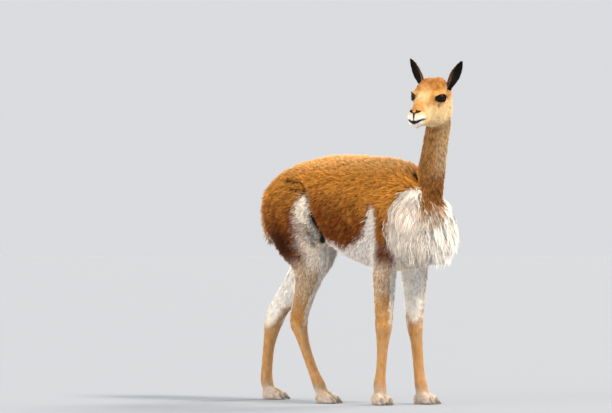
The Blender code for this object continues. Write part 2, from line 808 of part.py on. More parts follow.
def bib_locks(body):
    """Locks in rows round the chest, the upper rows over the lower ones."""
    tree = tree_of(body)
    draw = random.Random(23)
    locks = []
    for row, (front_z, side_z, tip_z, reach, count) in enumerate(BIB_ROWS):
        for i in range(count):
            turn = math.radians(-reach + 2 * reach * (i + 0.5 * (row % 2)) / (count - 0.5))
            turn += math.radians(draw.uniform(-2.5, 2.5))
            if row == 3 and abs(turn) < math.radians(38):
                continue
            share = abs(math.sin(turn)) ** 1.3
            z = front_z + (side_z - front_z) * share + draw.uniform(-0.008, 0.008)
            outward = Vector((math.cos(turn), math.sin(turn), 0.0))
            start = Vector((0.235, 0.0, z)) + outward * 0.4
            hit, normal, _, _ = tree.ray_cast(start, -outward)
            if hit is None:
                continue
            normal = Vector((normal.x, normal.y, 0.0)).normalized()
            outward = (outward + normal).normalized()
            tip = tip_z + (0.012 * share) + draw.uniform(-0.004, 0.016)
            length = z - tip
            width = BIB_LOCK_WIDTH * draw.uniform(0.85, 1.2)
            sway = draw.uniform(-0.010, 0.010) + 0.012 * math.copysign(share, turn)
            flare = draw.uniform(0.0, 0.010)
            locks.append(hanging_lock(hit, outward, length, width, BIB_LOCK_THICKNESS, sway, flare))
    return locks


def tail_locks(tail):
    """Short locks down the outer side of the tail and at its tip."""
    tree = tree_of(tail)
    draw = random.Random(31)
    locks = []
    for z, turns in ((0.690, (-50, 50)), (0.640, (-60, 0, 60))):
        for turn in turns:
            angle = math.radians(180 + turn + draw.uniform(-6, 6))
            outward = Vector((math.cos(angle), math.sin(angle), 0.0))
            start = Vector((-0.384, 0.0, z)) + outward * 0.2
            hit, _, _, _ = tree.ray_cast(start, -outward)
            if hit is None:
                continue
            length = draw.uniform(0.075, 0.085)
            locks.append(hanging_lock(hit, outward, length, 0.034, 0.012, 0.0, -0.006))
    return locks


def inset(obj, distance, weight_at):
    """Moves the surface in by the distance, times the weight of each place."""
    bm = bmesh_of(obj)
    bm.normal_update()
    moves = [vert.co - vert.normal * distance * weight_at(vert.co) for vert in bm.verts]
    for vert, co in zip(bm.verts, moves):
        vert.co = co
    bm.to_mesh(obj.data)
    bm.free()


def build():
    clear_scene()
    legs = {name: tube(name + "_leg", rows, 12, 26) for name, rows in LEGS.items()}
    neck_tube = tube("neck_tube", NECK, 28, 26)
    head = head_with_face(neck_tube)
    tail = tube("tail", TAIL, 9, 8)

    body = trunk()
    tops = []
    for name, leg in legs.items():
        top = copy_of(leg, name + "_top")
        cut_away(top, Vector((0, 0, 0.225)), -UP, 0.0)
        tops.append(top)
    bib = blob("bib", Vector((0.262, 0.0, 0.610)), (0.112, 0.136, 0.105))
    blended("body", body, tops + [copy_of(neck_tube, "neck_copy"), bib], BLEND_VOXEL, BLEND_SMOOTHING)
    inset(body, COAT_INSET, fleece_weight)
    decimate(body, 2900)
    union(body, fleece_clumps(body) + bib_locks(body), "MANIFOLD")

    turn = head_matrix()
    head_plane = (turn @ HEAD_CUT[0], turn.to_3x3() @ HEAD_CUT[1])
    middle = Vector((0.0, 0.0, 0.0))
    torso = kept(body, "torso", flipped(HIND_CUT), flipped(FRONT_CUT), NECK_CUT)
    neck = kept(body, "neck", flipped(NECK_CUT), head_plane)
    union(tail, tail_locks(tail), "MANIFOLD")
    boolean(torso, "DIFFERENCE", [grown(tail, GAP)], "MANIFOLD")

    painted = [(torso, "torso"), (neck, "neck"), (head, "head"), (tail, "tail")]
    for hand, side, stance in ((1, "left", EAR_LEFT), (-1, "right", EAR_RIGHT)):
        one = ear("ear_" + side, stance)
        boolean(head, "DIFFERENCE", [grown(one, GAP)])
        painted.append((one, "ear"))
        centre, _ = eye_place(hand)
        eye = ball("eye_" + side, EYE_RADIUS, turn @ Matrix.Translation(centre), 12, 8)
        painted.append((eye, "eye"))

    for name, leg in legs.items():
        fore = FORWARD if name.startswith("hind") else -FORWARD
        across = SIDE if name.endswith("right") else -SIDE
        joint = HOCK_CUT_Z if name.startswith("hind") else CARPUS_CUT_Z
        joint_plane = (Vector((0.0, 0.0, joint)), UP)
        top_plane = HIND_CUT if name.startswith("hind") else FRONT_CUT
        sides = (middle, fore), (middle, across)
        if name.startswith("hind"):
            split = (Vector((0.0, 0.0, GASKIN_CUT_Z)), UP)
            thigh = kept(body, name + "_thigh", top_plane, *sides, flipped(split))
            boolean(thigh, "DIFFERENCE", [grown(tail, GAP)], "MANIFOLD")
            shin = kept(body, name + "_shin", split, *sides, flipped(joint_plane))
            painted += [(thigh, "torso"), (shin, "upper")]
        else:
            forearm = kept(body, name + "_forearm", top_plane, *sides, flipped(joint_plane))
            painted.append((forearm, "upper"))
        lower = kept(leg, name + "_lower", joint_plane, (Vector((0.0, 0.0, FETLOCK_CUT_Z)), -UP))
        foot, nails = foot_parts(name, leg)
        painted += [(lower, "lower"), (foot, "foot")]
        painted += [(nail, "nail") for nail in nails]

    for leg in legs.values():
        remove(leg)
    remove(neck_tube)
    remove(body)
    for obj, kind in painted:
        paint(obj, kind)
    nodes = [obj for obj, _ in painted]
    spots = [obj.matrix_world @ vert.co for obj in nodes for vert in obj.data.vertices]
    low = Vector([min(spot[i] for spot in spots) for i in range(3)])
    high = Vector([max(spot[i] for spot in spots) for i in range(3)])
    shift = Vector((-(low.x + high.x) / 2, -(low.y + high.y) / 2, -low.z))
    for obj in nodes:
        obj.data.transform(Matrix.Translation(shift))
    return shift


SHIFT = build()
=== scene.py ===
import json
import math

import bmesh
import bpy
import numpy as np
from mathutils import Matrix, Vector
from mathutils.kdtree import KDTree

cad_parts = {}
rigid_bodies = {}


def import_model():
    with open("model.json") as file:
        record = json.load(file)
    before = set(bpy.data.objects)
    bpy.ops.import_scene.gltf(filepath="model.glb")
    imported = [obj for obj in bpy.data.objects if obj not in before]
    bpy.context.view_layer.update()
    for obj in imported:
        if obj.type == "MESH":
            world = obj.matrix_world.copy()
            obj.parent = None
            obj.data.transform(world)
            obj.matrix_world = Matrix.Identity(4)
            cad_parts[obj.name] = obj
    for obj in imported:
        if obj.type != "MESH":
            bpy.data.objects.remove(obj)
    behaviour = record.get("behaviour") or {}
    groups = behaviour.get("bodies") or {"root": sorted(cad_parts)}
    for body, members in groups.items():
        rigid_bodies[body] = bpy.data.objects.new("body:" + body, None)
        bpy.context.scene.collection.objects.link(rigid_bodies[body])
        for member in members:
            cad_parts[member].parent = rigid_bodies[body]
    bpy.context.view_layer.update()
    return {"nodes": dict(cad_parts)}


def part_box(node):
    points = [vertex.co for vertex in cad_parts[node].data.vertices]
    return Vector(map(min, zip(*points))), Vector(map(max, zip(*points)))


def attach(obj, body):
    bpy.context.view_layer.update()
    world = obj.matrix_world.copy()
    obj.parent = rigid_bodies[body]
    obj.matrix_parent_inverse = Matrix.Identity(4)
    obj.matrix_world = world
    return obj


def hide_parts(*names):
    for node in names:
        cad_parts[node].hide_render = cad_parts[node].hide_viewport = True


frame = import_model()
print("frame loaded:", len(frame["nodes"]), "nodes")

up, side = Vector((0, 0, 1)), Vector((0, 1, 0))
hands = (1, -1)  # the animal's left side, then its right

# Where the head sits on the body: its origin is between the eyes, its x runs to the nose
headPose = {
    "origin": Vector((0.3846, -0.1088, 1.064)),
    "heading": math.radians(-78),
    "roll": math.radians(4),
}
headMatrix = (
    Matrix.Translation(headPose["origin"])
    @ Matrix.Rotation(headPose["heading"], 4, "Z")
    @ Matrix.Rotation(-headPose["roll"], 4, "X")
)
headInverse = headMatrix.inverted()

eyes = {
    "radius": 0.0195,
    "place": (-0.010, 0.0430, -0.004),
    "turnOut": math.radians(52),
    "turnUp": 0.06,
    "lidThickness": 0.0030,
    "clearance": 0.0004,
    "rim": 0.0019,
    "openWide": 0.0176,
    "openHigh": 0.0112,
    "openLow": 0.0102,
    "droop": 0.0020,
    # half sizes of the opening as the coat leaves it free, and of the dark lids round it
    "slit": (0.0198, 0.0122),
    "darkLid": (0.0270, 0.0136),
    "dome": 0.055,
    "pupil": (0.0105, 0.0066),
    "iris": 0.0150,
    "lashes": {"width": 0.0006, "wave": 0.03, "stray": 0.06, "sink": 0.001},
}


# small helpers


def clearSelection():
    for picked in list(bpy.context.selected_objects):
        picked.select_set(False)


def makeActive(piece):
    clearSelection()
    piece.select_set(True)
    bpy.context.view_layer.objects.active = piece


def newObject(name, data):
    made = bpy.data.objects.new(name, data)
    bpy.context.scene.collection.objects.link(made)
    return made


def meshPiece(name, points, faces):
    mesh = bpy.data.meshes.new(name)
    mesh.from_pydata([tuple(point) for point in points], [], faces)
    return newObject(name, mesh)


def applyModifier(piece, kind, **settings):
    # adds one modifier, and applies it at once
    makeActive(piece)
    modifier = piece.modifiers.new("step", kind)
    for key, value in settings.items():
        setattr(modifier, key, value)
    bpy.ops.object.modifier_apply(modifier="step")


def remesh(piece, voxel, smoothing):
    applyModifier(piece, "REMESH", mode="VOXEL", voxel_size=voxel)
    applyModifier(piece, "SMOOTH", factor=0.5, iterations=smoothing)


def thinOut(piece, triangles):
    applyModifier(piece, "DECIMATE", ratio=triangles / (2 * len(piece.data.polygons)))


def joinSolids(piece, others, operation="UNION"):
    # one Boolean with all the others, which are then deleted
    group = bpy.data.collections.new("others")
    bpy.context.scene.collection.children.link(group)
    for other in others:
        for owner in list(other.users_collection):
            owner.objects.unlink(other)
        group.objects.link(other)
    applyModifier(
        piece, "BOOLEAN", operation=operation, operand_type="COLLECTION", collection=group, solver="MANIFOLD"
    )
    for other in list(group.objects):
        bpy.data.objects.remove(other, do_unlink=True)
    bpy.data.collections.remove(group)


def keepSide(piece, point, normal):
    # cuts along a plane, drops what lies on the normal's side, and closes the cut
    makeActive(piece)
    bpy.ops.object.mode_set(mode="EDIT")
    bpy.ops.mesh.select_all(action="SELECT")
    bpy.ops.mesh.bisect(plane_co=point, plane_no=normal, use_fill=True, clear_outer=True)
    bpy.ops.object.mode_set(mode="OBJECT")


def fixNormals(piece):
    shape = bmesh.new()
    shape.from_mesh(piece.data)
    bmesh.ops.recalc_face_normals(shape, faces=shape.faces)
    shape.to_mesh(piece.data)
    shape.free()


def smoothShade(piece):
    piece.data.polygons.foreach_set("use_smooth", np.ones(len(piece.data.polygons), dtype=bool))
    piece.data.update()


def unwrap(piece):
    # triangles, a UV map of its own and smooth shading
    makeActive(piece)
    bpy.ops.object.mode_set(mode="EDIT")
    bpy.ops.mesh.select_all(action="SELECT")
    bpy.ops.mesh.quads_convert_to_tris()
    bpy.ops.uv.smart_project(angle_limit=math.radians(66), island_margin=0.001)
    bpy.ops.object.mode_set(mode="OBJECT")
    piece.data.uv_layers[0].name = "OFBake"
    smoothShade(piece)


def pointsOf(piece):
    spots = np.empty(len(piece.data.vertices) * 3)
    piece.data.vertices.foreach_get("co", spots)
    return spots.reshape(-1, 3)


def normalsOf(piece):
    facing = np.empty(len(piece.data.vertices) * 3)
    piece.data.vertex_normals.foreach_get("vector", facing)
    return facing.reshape(-1, 3)


def setPoints(piece, spots):
    piece.data.vertices.foreach_set("co", np.ascontiguousarray(spots).ravel())
    piece.data.update()


def writeColours(piece, name, values):
    layer = piece.data.attributes.new(name, "FLOAT_COLOR", "POINT")
    layer.data.foreach_set("color", np.ascontiguousarray(values, dtype=np.float32).ravel())


def mirrored(place, hand):
    # a place given for the left side, on the side asked for
    return Vector((place[0], hand * place[1], place[2]))


def ramp(low, high, value):
    # 0 below low, 1 above high, smooth between; works the other way round too
    share = np.clip((value - low) / (high - low), 0.0, 1.0)
    return share * share * (3 - 2 * share)


def hump(value, middle, width):
    return np.exp(-(((value - middle) / width) ** 2))


def highest(*shares):
    return np.max(np.broadcast_arrays(*shares), axis=0)


def unit(vectors):
    return vectors / np.maximum(np.linalg.norm(vectors, axis=1, keepdims=True), 1e-9)


def alongSkin(lie, facing):
    # a direction laid at a right angle to the way the skin faces
    return unit(lie - facing * np.sum(lie * facing, axis=1, keepdims=True))


def waves(spots, size, seed):
    # soft noise between -1 and 1, with features of about this size in metres
    draw = np.random.default_rng(seed)
    total = np.zeros(len(spots))
    for _ in range(7):
        direction = draw.normal(size=3)
        direction *= (2 * math.pi / size) * draw.uniform(0.6, 1.5) / np.linalg.norm(direction)
        total += np.sin(spots @ direction + draw.uniform(0, 2 * math.pi))
    return total / 3.2


# lofts


def splineRows(rows, count):
    # even steps along a smooth curve through the rows
    rows = np.array(rows, float)
    chords = np.linalg.norm(np.diff(rows[:, :3], axis=0), axis=1) ** 0.5
    at = np.concatenate([[0], np.cumsum(chords)])
    padded = np.concatenate([[2 * rows[0] - rows[1]], rows, [2 * rows[-1] - rows[-2]]])
    found = []
    for place in np.linspace(0, at[-1], count):
        i = min(int(np.searchsorted(at, place, side="right")) - 1, len(rows) - 2)
        t = (place - at[i]) / (at[i + 1] - at[i])
        a, b, c, d = padded[i : i + 4]
        found.append(
            0.5 * (2 * b + (c - a) * t + (2 * a - 5 * b + 4 * c - d) * t**2 + (3 * b - a - 3 * c + d) * t**3)
        )
    return np.array(found)


def sectionRing(centre, across, lift, halfWidth, rise, drop, power, sides):
    ring = []
    for i in range(sides):
        angle = 2 * math.pi * i / sides
        c, s = math.cos(angle), math.sin(angle)
        out = math.copysign(abs(c) ** (2 / power), c) * halfWidth
        height = math.copysign(abs(s) ** (2 / power), s) * (rise if s > 0 else drop)
        ring.append(centre + across * out + lift * height)
    return ring


def loftPiece(name, rings, closed=False):
    # closed joins the last ring to the first; otherwise each end has a cap
    points = [point for ring in rings for point in ring]
    sides, count = len(rings[0]), len(rings)
    faces = []
    for row in range(count if closed else count - 1):
        low, high = row * sides, (row + 1) % count * sides
        for i in range(sides):
            j = (i + 1) % sides
            faces.append((low + i, low + j, high + j, high + i))
    if not closed:
        faces.append(tuple(reversed(range(sides))))
        faces.append(tuple(range((count - 1) * sides, count * sides)))
    piece = meshPiece(name, points, faces)
    fixNormals(piece)
    return piece


def barrelPiece(name, rows, power, sides, count):
    # rows: x, height of top, of bottom and of widest level, half width
    rings = []
    for x, top, bottom, level, halfWidth in splineRows(rows, count):
        rings.append(
            sectionRing(Vector((x, 0, level)), side, up, halfWidth, top - level, level - bottom, power, sides)
        )
    return loftPiece(name, rings)


def limbPiece(name, rows, sides, count):
    # rows: x, y, z, half depth fore and aft, half width across
    rows = splineRows(rows, count)
    rings = []
    for i, row in enumerate(rows):
        before, after = rows[max(i - 1, 0)], rows[min(i + 1, count - 1)]
        along = Vector(after[:3] - before[:3]).normalized()
        fore = side.cross(along).normalized()
        across = along.cross(fore).normalized()
        rings.append(sectionRing(Vector(row[:3]), across, fore, row[4], row[3], row[3], 2.0, sides))
    return loftPiece(name, rings)


def ellipsoid(name, centre, radii, turn=None, segments=24, rings=16):
    # a sphere added at its size, then stretched and turned in place
    clearSelection()
    bpy.ops.mesh.primitive_uv_sphere_add(segments=segments, ring_count=rings, radius=1.0, location=(0, 0, 0))
    piece = bpy.context.active_object
    piece.name = name
    matrix = Matrix.Translation(centre) @ (turn or Matrix.Identity(4)) @ Matrix.Diagonal((*radii, 1.0))
    piece.data.transform(matrix)
    return piece


# the animal's shape, to the outside of its coat

body = {
    "trunk": [
        (-0.380, 0.706, 0.640, 0.680, 0.020),
        (-0.372, 0.735, 0.600, 0.688, 0.064),
        (-0.346, 0.776, 0.572, 0.695, 0.102),
        (-0.298, 0.815, 0.563, 0.700, 0.132),
        (-0.220, 0.849, 0.562, 0.705, 0.148),
        (-0.120, 0.867, 0.548, 0.706, 0.153),
        (0.000, 0.870, 0.500, 0.690, 0.152),
        (0.090, 0.864, 0.474, 0.680, 0.148),
        (0.170, 0.856, 0.464, 0.675, 0.142),
        (0.250, 0.832, 0.470, 0.665, 0.128),
        (0.310, 0.780, 0.496, 0.655, 0.108),
        (0.352, 0.725, 0.535, 0.650, 0.078),
        (0.376, 0.680, 0.600, 0.640, 0.035),
    ],
    "trunkPower": 2.15,
    "neck": [
        (0.245, 0.000, 0.640, 0.110, 0.090),
        (0.288, 0.000, 0.720, 0.080, 0.070),
        (0.318, 0.000, 0.785, 0.054, 0.050),
        (0.329, 0.000, 0.840, 0.050, 0.0440),
        (0.340, 0.000, 0.900, 0.0465, 0.0415),
        (0.350, 0.000, 0.960, 0.0460, 0.0420),
        (0.357, -0.002, 1.010, 0.0465, 0.0440),
        (0.361, -0.005, 1.055, 0.0450, 0.0430),
        (0.362, -0.008, 1.085, 0.0360, 0.0350),
    ],
    "bibCentre": Vector((0.268, 0.0, 0.612)),
    "bibRadii": (0.106, 0.130, 0.100),
    "tail": [
        (-0.310, 0.000, 0.752, 0.018, 0.022),
        (-0.345, 0.000, 0.749, 0.022, 0.026),
        (-0.372, 0.000, 0.730, 0.024, 0.030),
        (-0.386, 0.000, 0.690, 0.024, 0.033),
        (-0.388, 0.000, 0.650, 0.023, 0.032),
        (-0.384, 0.000, 0.610, 0.018, 0.025),
        (-0.378, 0.000, 0.580, 0.007, 0.010),
    ],
    "voxel": 0.0034,
    "smoothing": 10,
    "triangles": 96000,
    # the seam between head and neck, which is smoothed: height, how tall, its middle and how wide
    "seam": {"height": 0.965, "tall": 0.026, "x": 0.350, "wide": (0.062, 0.052), "smoothing": 30},
}

# Leg rows: x, outward shift from the leg's own line, height, half depth, half width
legs = {
    "frontRight": {
        "line": -0.072,
        "foot": (0.160, -0.074),
        "toesOut": -25,
        "rows": [
            (0.212, 0.004, 0.690, 0.085, 0.060),
            (0.196, 0.006, 0.610, 0.078, 0.058),
            (0.180, 0.002, 0.530, 0.060, 0.050),
            (0.174, 0.000, 0.4725, 0.0475, 0.0430),
            (0.173, 0.000, 0.396, 0.0415, 0.0395),
            (0.172, 0.000, 0.340, 0.0370, 0.0350),
            (0.171, 0.000, 0.300, 0.0340, 0.0325),
            (0.171, 0.000, 0.268, 0.0320, 0.0305),
            (0.168, 0.000, 0.235, 0.0260, 0.0250),
            (0.165, 0.000, 0.190, 0.0210, 0.0210),
            (0.160, 0.000, 0.130, 0.0190, 0.0195),
            (0.156, 0.000, 0.095, 0.0205, 0.0210),
            (0.154, 0.000, 0.070, 0.0240, 0.0240),
            (0.157, 0.000, 0.040, 0.0230, 0.0235),
            (0.162, 0.000, 0.016, 0.0240, 0.0250),
        ],
    },
    "frontLeft": {
        "line": 0.072,
        "foot": (0.241, 0.074),
        "toesOut": -6,
        "rows": [
            (0.225, 0.004, 0.690, 0.085, 0.060),
            (0.213, 0.006, 0.610, 0.080, 0.058),
            (0.203, 0.002, 0.530, 0.064, 0.050),
            (0.197, 0.000, 0.4725, 0.0530, 0.0450),
            (0.197, 0.000, 0.396, 0.0440, 0.0400),
            (0.196, 0.000, 0.340, 0.0375, 0.0345),
            (0.196, 0.000, 0.300, 0.0330, 0.0315),
            (0.199, 0.000, 0.268, 0.0300, 0.0290),
            (0.205, 0.000, 0.225, 0.0235, 0.0235),
            (0.210, 0.000, 0.180, 0.0215, 0.0215),
            (0.215, 0.000, 0.130, 0.0205, 0.0205),
            (0.219, 0.000, 0.095, 0.0210, 0.0215),
            (0.224, 0.000, 0.070, 0.0235, 0.0235),
            (0.231, 0.000, 0.040, 0.0230, 0.0235),
            (0.239, 0.000, 0.016, 0.0240, 0.0250),
        ],
    },
    "hindRight": {
        "line": -0.080,
        "foot": (-0.071, -0.082),
        "toesOut": -5,
        "rows": [
            (-0.240, -0.008, 0.740, 0.115, 0.060),
            (-0.232, 0.000, 0.670, 0.120, 0.068),
            (-0.202, 0.004, 0.604, 0.111, 0.070),
            (-0.162, 0.006, 0.546, 0.098, 0.064),
            (-0.146, 0.006, 0.497, 0.080, 0.056),
            (-0.146, 0.005, 0.460, 0.064, 0.050),
            (-0.155, 0.004, 0.420, 0.0505, 0.0430),
            (-0.168, 0.003, 0.380, 0.0425, 0.0380),
            (-0.183, 0.002, 0.335, 0.0380, 0.0340),
            (-0.194, 0.001, 0.300, 0.0370, 0.0320),
            (-0.194, 0.000, 0.272, 0.0340, 0.0295),
            (-0.184, 0.000, 0.240, 0.0255, 0.0245),
            (-0.166, 0.000, 0.190, 0.0200, 0.0205),
            (-0.140, 0.000, 0.130, 0.0190, 0.0200),
            (-0.123, 0.000, 0.095, 0.0200, 0.0210),
            (-0.109, 0.000, 0.070, 0.0235, 0.0235),
            (-0.094, 0.000, 0.040, 0.0230, 0.0235),
            (-0.080, 0.000, 0.016, 0.0240, 0.0250),
        ],
    },
    "hindLeft": {
        "line": 0.080,
        "foot": (-0.427, 0.069),
        "toesOut": 3,
        "rows": [
            (-0.250, -0.008, 0.740, 0.110, 0.060),
            (-0.250, 0.000, 0.670, 0.116, 0.068),
            (-0.247, 0.004, 0.604, 0.112, 0.070),
            (-0.248, 0.006, 0.546, 0.096, 0.064),
            (-0.270, 0.004, 0.490, 0.078, 0.054),
            (-0.304, 0.002, 0.440, 0.064, 0.046),
            (-0.346, 0.000, 0.395, 0.0500, 0.0400),
            (-0.388, -0.002, 0.350, 0.0420, 0.0355),
            (-0.418, -0.004, 0.312, 0.0395, 0.0330),
            (-0.431, -0.005, 0.280, 0.0380, 0.0310),
            (-0.440, -0.006, 0.245, 0.0300, 0.0265),
            (-0.451, -0.008, 0.190, 0.0230, 0.0220),
            (-0.457, -0.010, 0.130, 0.0220, 0.0210),
            (-0.459, -0.011, 0.095, 0.0225, 0.0220),
            (-0.458, -0.012, 0.070, 0.0240, 0.0240),
            (-0.450, -0.012, 0.040, 0.0230, 0.0235),
            (-0.438, -0.012, 0.016, 0.0240, 0.0250),
        ],
    },
}

toes = {
    "rows": [
        (-0.041, 0.022, 0.010, 0.004),
        (-0.036, 0.034, 0.000, 0.0110),
        (-0.022, 0.044, -0.003, 0.0140),
        (0.000, 0.045, -0.003, 0.0148),
        (0.020, 0.037, -0.003, 0.0146),
        (0.036, 0.028, -0.003, 0.0128),
        (0.047, 0.019, 0.0012, 0.0090),
        (0.055, 0.012, 0.0018, 0.0052),
        (0.060, 0.007, 0.0030, 0.0016),
    ],
    "level": 0.42,
    "power": 2.3,
    "offset": 0.0142,
    "splay": 0.05,
    "nailPoint": Vector((0.0355, 0.0, 0.030)),
    "nailNormal": Vector((0.86, 0.0, 0.51)).normalized(),
    "underNail": 0.004,
    "hands": {"Left": 1, "Right": -1},
}


def footPlace(leg):
    return Matrix.Translation((*leg["foot"], 0)) @ Matrix.Rotation(math.radians(leg["toesOut"]), 4, "Z")


def toePiece(name, hand, sides=20, count=22, grow=0.0):
    rings = []
    for x, top, bottom, halfWidth in splineRows(toes["rows"], count):
        level = bottom + (top - bottom) * toes["level"]
        centre = Vector((x + grow, hand * (toes["offset"] + toes["splay"] * x), level))
        rise, drop = top - level + grow, level - bottom + grow * 0.3
        rings.append(sectionRing(centre, side, up, halfWidth + grow, rise, drop, toes["power"], sides))
    return loftPiece(name, rings)


def buildBody():
    skin = barrelPiece("skin", body["trunk"], body["trunkPower"], 64, 60)
    parts = [limbPiece("neckTube", body["neck"], 40, 44), limbPiece("tailTube", body["tail"], 24, 20)]
    parts.append(ellipsoid("bibShape", body["bibCentre"], body["bibRadii"], None, 64, 40))
    for name, leg in legs.items():
        line, hand = leg["line"], math.copysign(1, leg["line"])
        rows = [(x, line + hand * shift, z, depth, width) for x, shift, z, depth, width in leg["rows"]]
        parts.append(limbPiece(name + "Leg", rows, 28, 60))
        for label, toeHand in toes["hands"].items():
            toe = toePiece(name + "Toe" + label, toeHand)
            keepSide(toe, toes["nailPoint"] + toes["nailNormal"] * toes["underNail"], toes["nailNormal"])
            toe.data.transform(footPlace(leg))
            parts.append(toe)
    joinSolids(skin, parts)
    keepSide(skin, Vector((0, 0, 0)), -up)
    remesh(skin, body["voxel"], body["smoothing"])
    return skin


head = {
    # forward from the eyes, top, bottom and widest level above the eyes, half width
    "rows": [
        (0.1020, -0.0570, -0.0730, -0.0650, 0.0060),
        (0.1005, -0.0505, -0.0860, -0.0685, 0.0155),
        (0.0965, -0.0460, -0.0985, -0.0745, 0.0230),
        (0.0880, -0.0410, -0.1075, -0.0790, 0.0280),
        (0.0740, -0.0325, -0.1100, -0.0800, 0.0300),
        (0.0560, -0.0185, -0.1080, -0.0740, 0.0320),
        (0.0350, 0.0010, -0.1055, -0.0590, 0.0375),
        (0.0130, 0.0240, -0.1040, -0.0370, 0.0460),
        (-0.0100, 0.0450, -0.1045, -0.0210, 0.0520),
        (-0.0350, 0.0600, -0.1065, -0.0120, 0.0535),
        (-0.0620, 0.0680, -0.1060, -0.0040, 0.0520),
        (-0.0880, 0.0655, -0.0950, 0.0060, 0.0485),
        (-0.1120, 0.0540, -0.0720, 0.0100, 0.0420),
        (-0.1300, 0.0340, -0.0450, 0.0060, 0.0290),
        (-0.1380, 0.0120, -0.0200, 0.0000, 0.0120),
    ],
    "power": 2.25,
    "cutPoint": np.array((-0.066, 0.0, -0.116)),
    "cutNormal": np.array((0.722, 0.0, 0.692)),
    "voxel": 0.0015,
    "smoothing": 4,
    "triangles": 76000,
    "roughVoxel": 0.0030,
    "roughSmoothing": 14,
    "neckTop": 0.925,
    # the two necks pass into one another: heights above neckTop, and how far each end is drawn in
    "neckJoin": {"body": (0.030, 0.065), "bodyIn": 0.006, "head": 0.040, "headIn": 0.018},
    # lumps under the skin, given for the left side: place and radii, the first two from the eye
    "eyeLumps": {
        "orbit": ((-0.012, -0.005, 0.001), (0.036, 0.0235, 0.029)),
        "brow": ((-0.006, -0.008, 0.014), (0.026, 0.019, 0.014)),
    },
    "lumps": {
        "cheek": ((-0.052, 0.026, -0.056), (0.044, 0.024, 0.043)),
        "ridge": ((-0.022, 0.023, 0.026), (0.036, 0.026, 0.024)),
        "crown": ((-0.047, 0.017, 0.028), (0.050, 0.034, 0.036)),
        "lip": ((0.0805, 0.0135, -0.0770), (0.021, 0.0185, 0.0175)),
        "chin": ((0.0700, 0.0, -0.1000), (0.022, 0.0180, 0.0120)),
        "nostrilRim": ((0.0875, 0.0100, -0.0545), (0.014, 0.0120, 0.010)),
    },
    "nostrils": {
        "nostril": ((0.0985, 0.0120, -0.0550), (0.011, 0.0078, 0.0024)),
        "nostrilWing": ((0.0945, 0.0190, -0.0528), (0.006, 0.0064, 0.0017)),
    },
    "nostrilTurn": math.radians(30),
    # the cleft of the upper lip: how far forward and how high its bottom runs
    "cleft": ((0.0995, -0.0600), (0.1020, -0.0700), (0.1025, -0.0790), (0.1010, -0.0910)),
}

mouth = {
    "halfWidth": 0.0335,
    "middle": -0.0920,
    "rise": 0.0140,
    "front": 0.1120,
    "back": 0.050,
    "deep": 0.0200,
    "open": 0.0046,
    "past": 0.02,  # how far the cutters reach out of the lips
}


def eyePlace(hand):
    # the eyeball's middle and its outward axis, in the head's axes
    turn = eyes["turnOut"]
    axis = Vector((math.cos(turn), hand * math.sin(turn), eyes["turnUp"])).normalized()
    return mirrored(eyes["place"], hand), axis


def eyeAxes(hand):
    centre, axis = eyePlace(hand)
    ahead = up.cross(axis) * -hand
    ahead = (ahead - axis * ahead.dot(axis)).normalized()
    lift = axis.cross(ahead)
    if lift.z < 0:
        lift = -lift
    return centre, axis, ahead, lift


def lidLine(hand, count, grow=1.0, depth=0.0):
    # points round the opening between the lids: a long corner in front, flatter below
    centre, axis, ahead, lift = eyeAxes(hand)
    line = []
    for i in range(count):
        angle = 2 * math.pi * i / count
        c, s = math.cos(angle), math.sin(angle)
        high = (eyes["openHigh"] if s > 0 else eyes["openLow"]) * grow * s * (abs(s) ** 0.35)
        high -= eyes["droop"] * c + eyes["droop"]
        line.append(centre + axis * depth + ahead * (eyes["openWide"] * grow * c) + lift * high)
    return line


def lidRim(name, hand):
    # a smooth tube round the opening, on the ball of the lids
    centre = eyeAxes(hand)[0]
    count, sides, thick = 64, 12, eyes["rim"]
    line = []
    for point in lidLine(hand, count, 1.04, 0.0135):
        line.append(centre + (point - centre).normalized() * (eyes["radius"] + eyes["lidThickness"] * 0.40))
    turns = [2 * math.pi * k / sides for k in range(sides)]
    rings = []
    for i, point in enumerate(line):
        along = (line[(i + 1) % count] - line[i - 1]).normalized()
        out = (point - centre).normalized()
        across = along.cross(out).normalized()
        rings.append([point + across * (thick * math.cos(t)) + out * (thick * math.sin(t)) for t in turns])
    return loftPiece(name, rings, closed=True)


def mouthLevel(y):
    # the line between the lips, low in the middle and rising to the corners
    return mouth["middle"] + mouth["rise"] * (abs(y) / mouth["halfWidth"]) ** 1.5


def faceCutters():
    cutters = []
    for hand in hands:
        slant = hand * head["nostrilTurn"]
        turn = Matrix.Rotation(slant, 4, "Z") @ Matrix.Rotation(-slant, 4, "X")
        for name, (place, radii) in head["nostrils"].items():
            cutters.append(ellipsoid(name, mirrored(place, hand), radii, turn))
    past = mouth["past"]
    rings = []
    for i in range(25):
        t = -1 + i / 12
        y = t * mouth["halfWidth"]
        x, z = mouth["front"] - mouth["back"] * abs(t) ** 1.8, mouthLevel(y)
        deep, half = mouth["deep"] - 0.004 * abs(t), mouth["open"] - 0.0014 * abs(t)
        corners = ((-deep, 0.0012), (-deep, -0.0012), (past, -half), (past, half))
        rings.append([Vector((x + ahead, y, z + rise)) for ahead, rise in corners])
    cutters.append(loftPiece("mouthLine", rings))
    corners = ((-0.0070, 0.0010), (-0.0070, -0.0010), (past, -0.0026), (past, 0.0026))
    rings = [[Vector((x + ahead, across, z)) for ahead, across in corners] for x, z in head["cleft"]]
    cutters.append(loftPiece("lipCleft", rings))
    return cutters


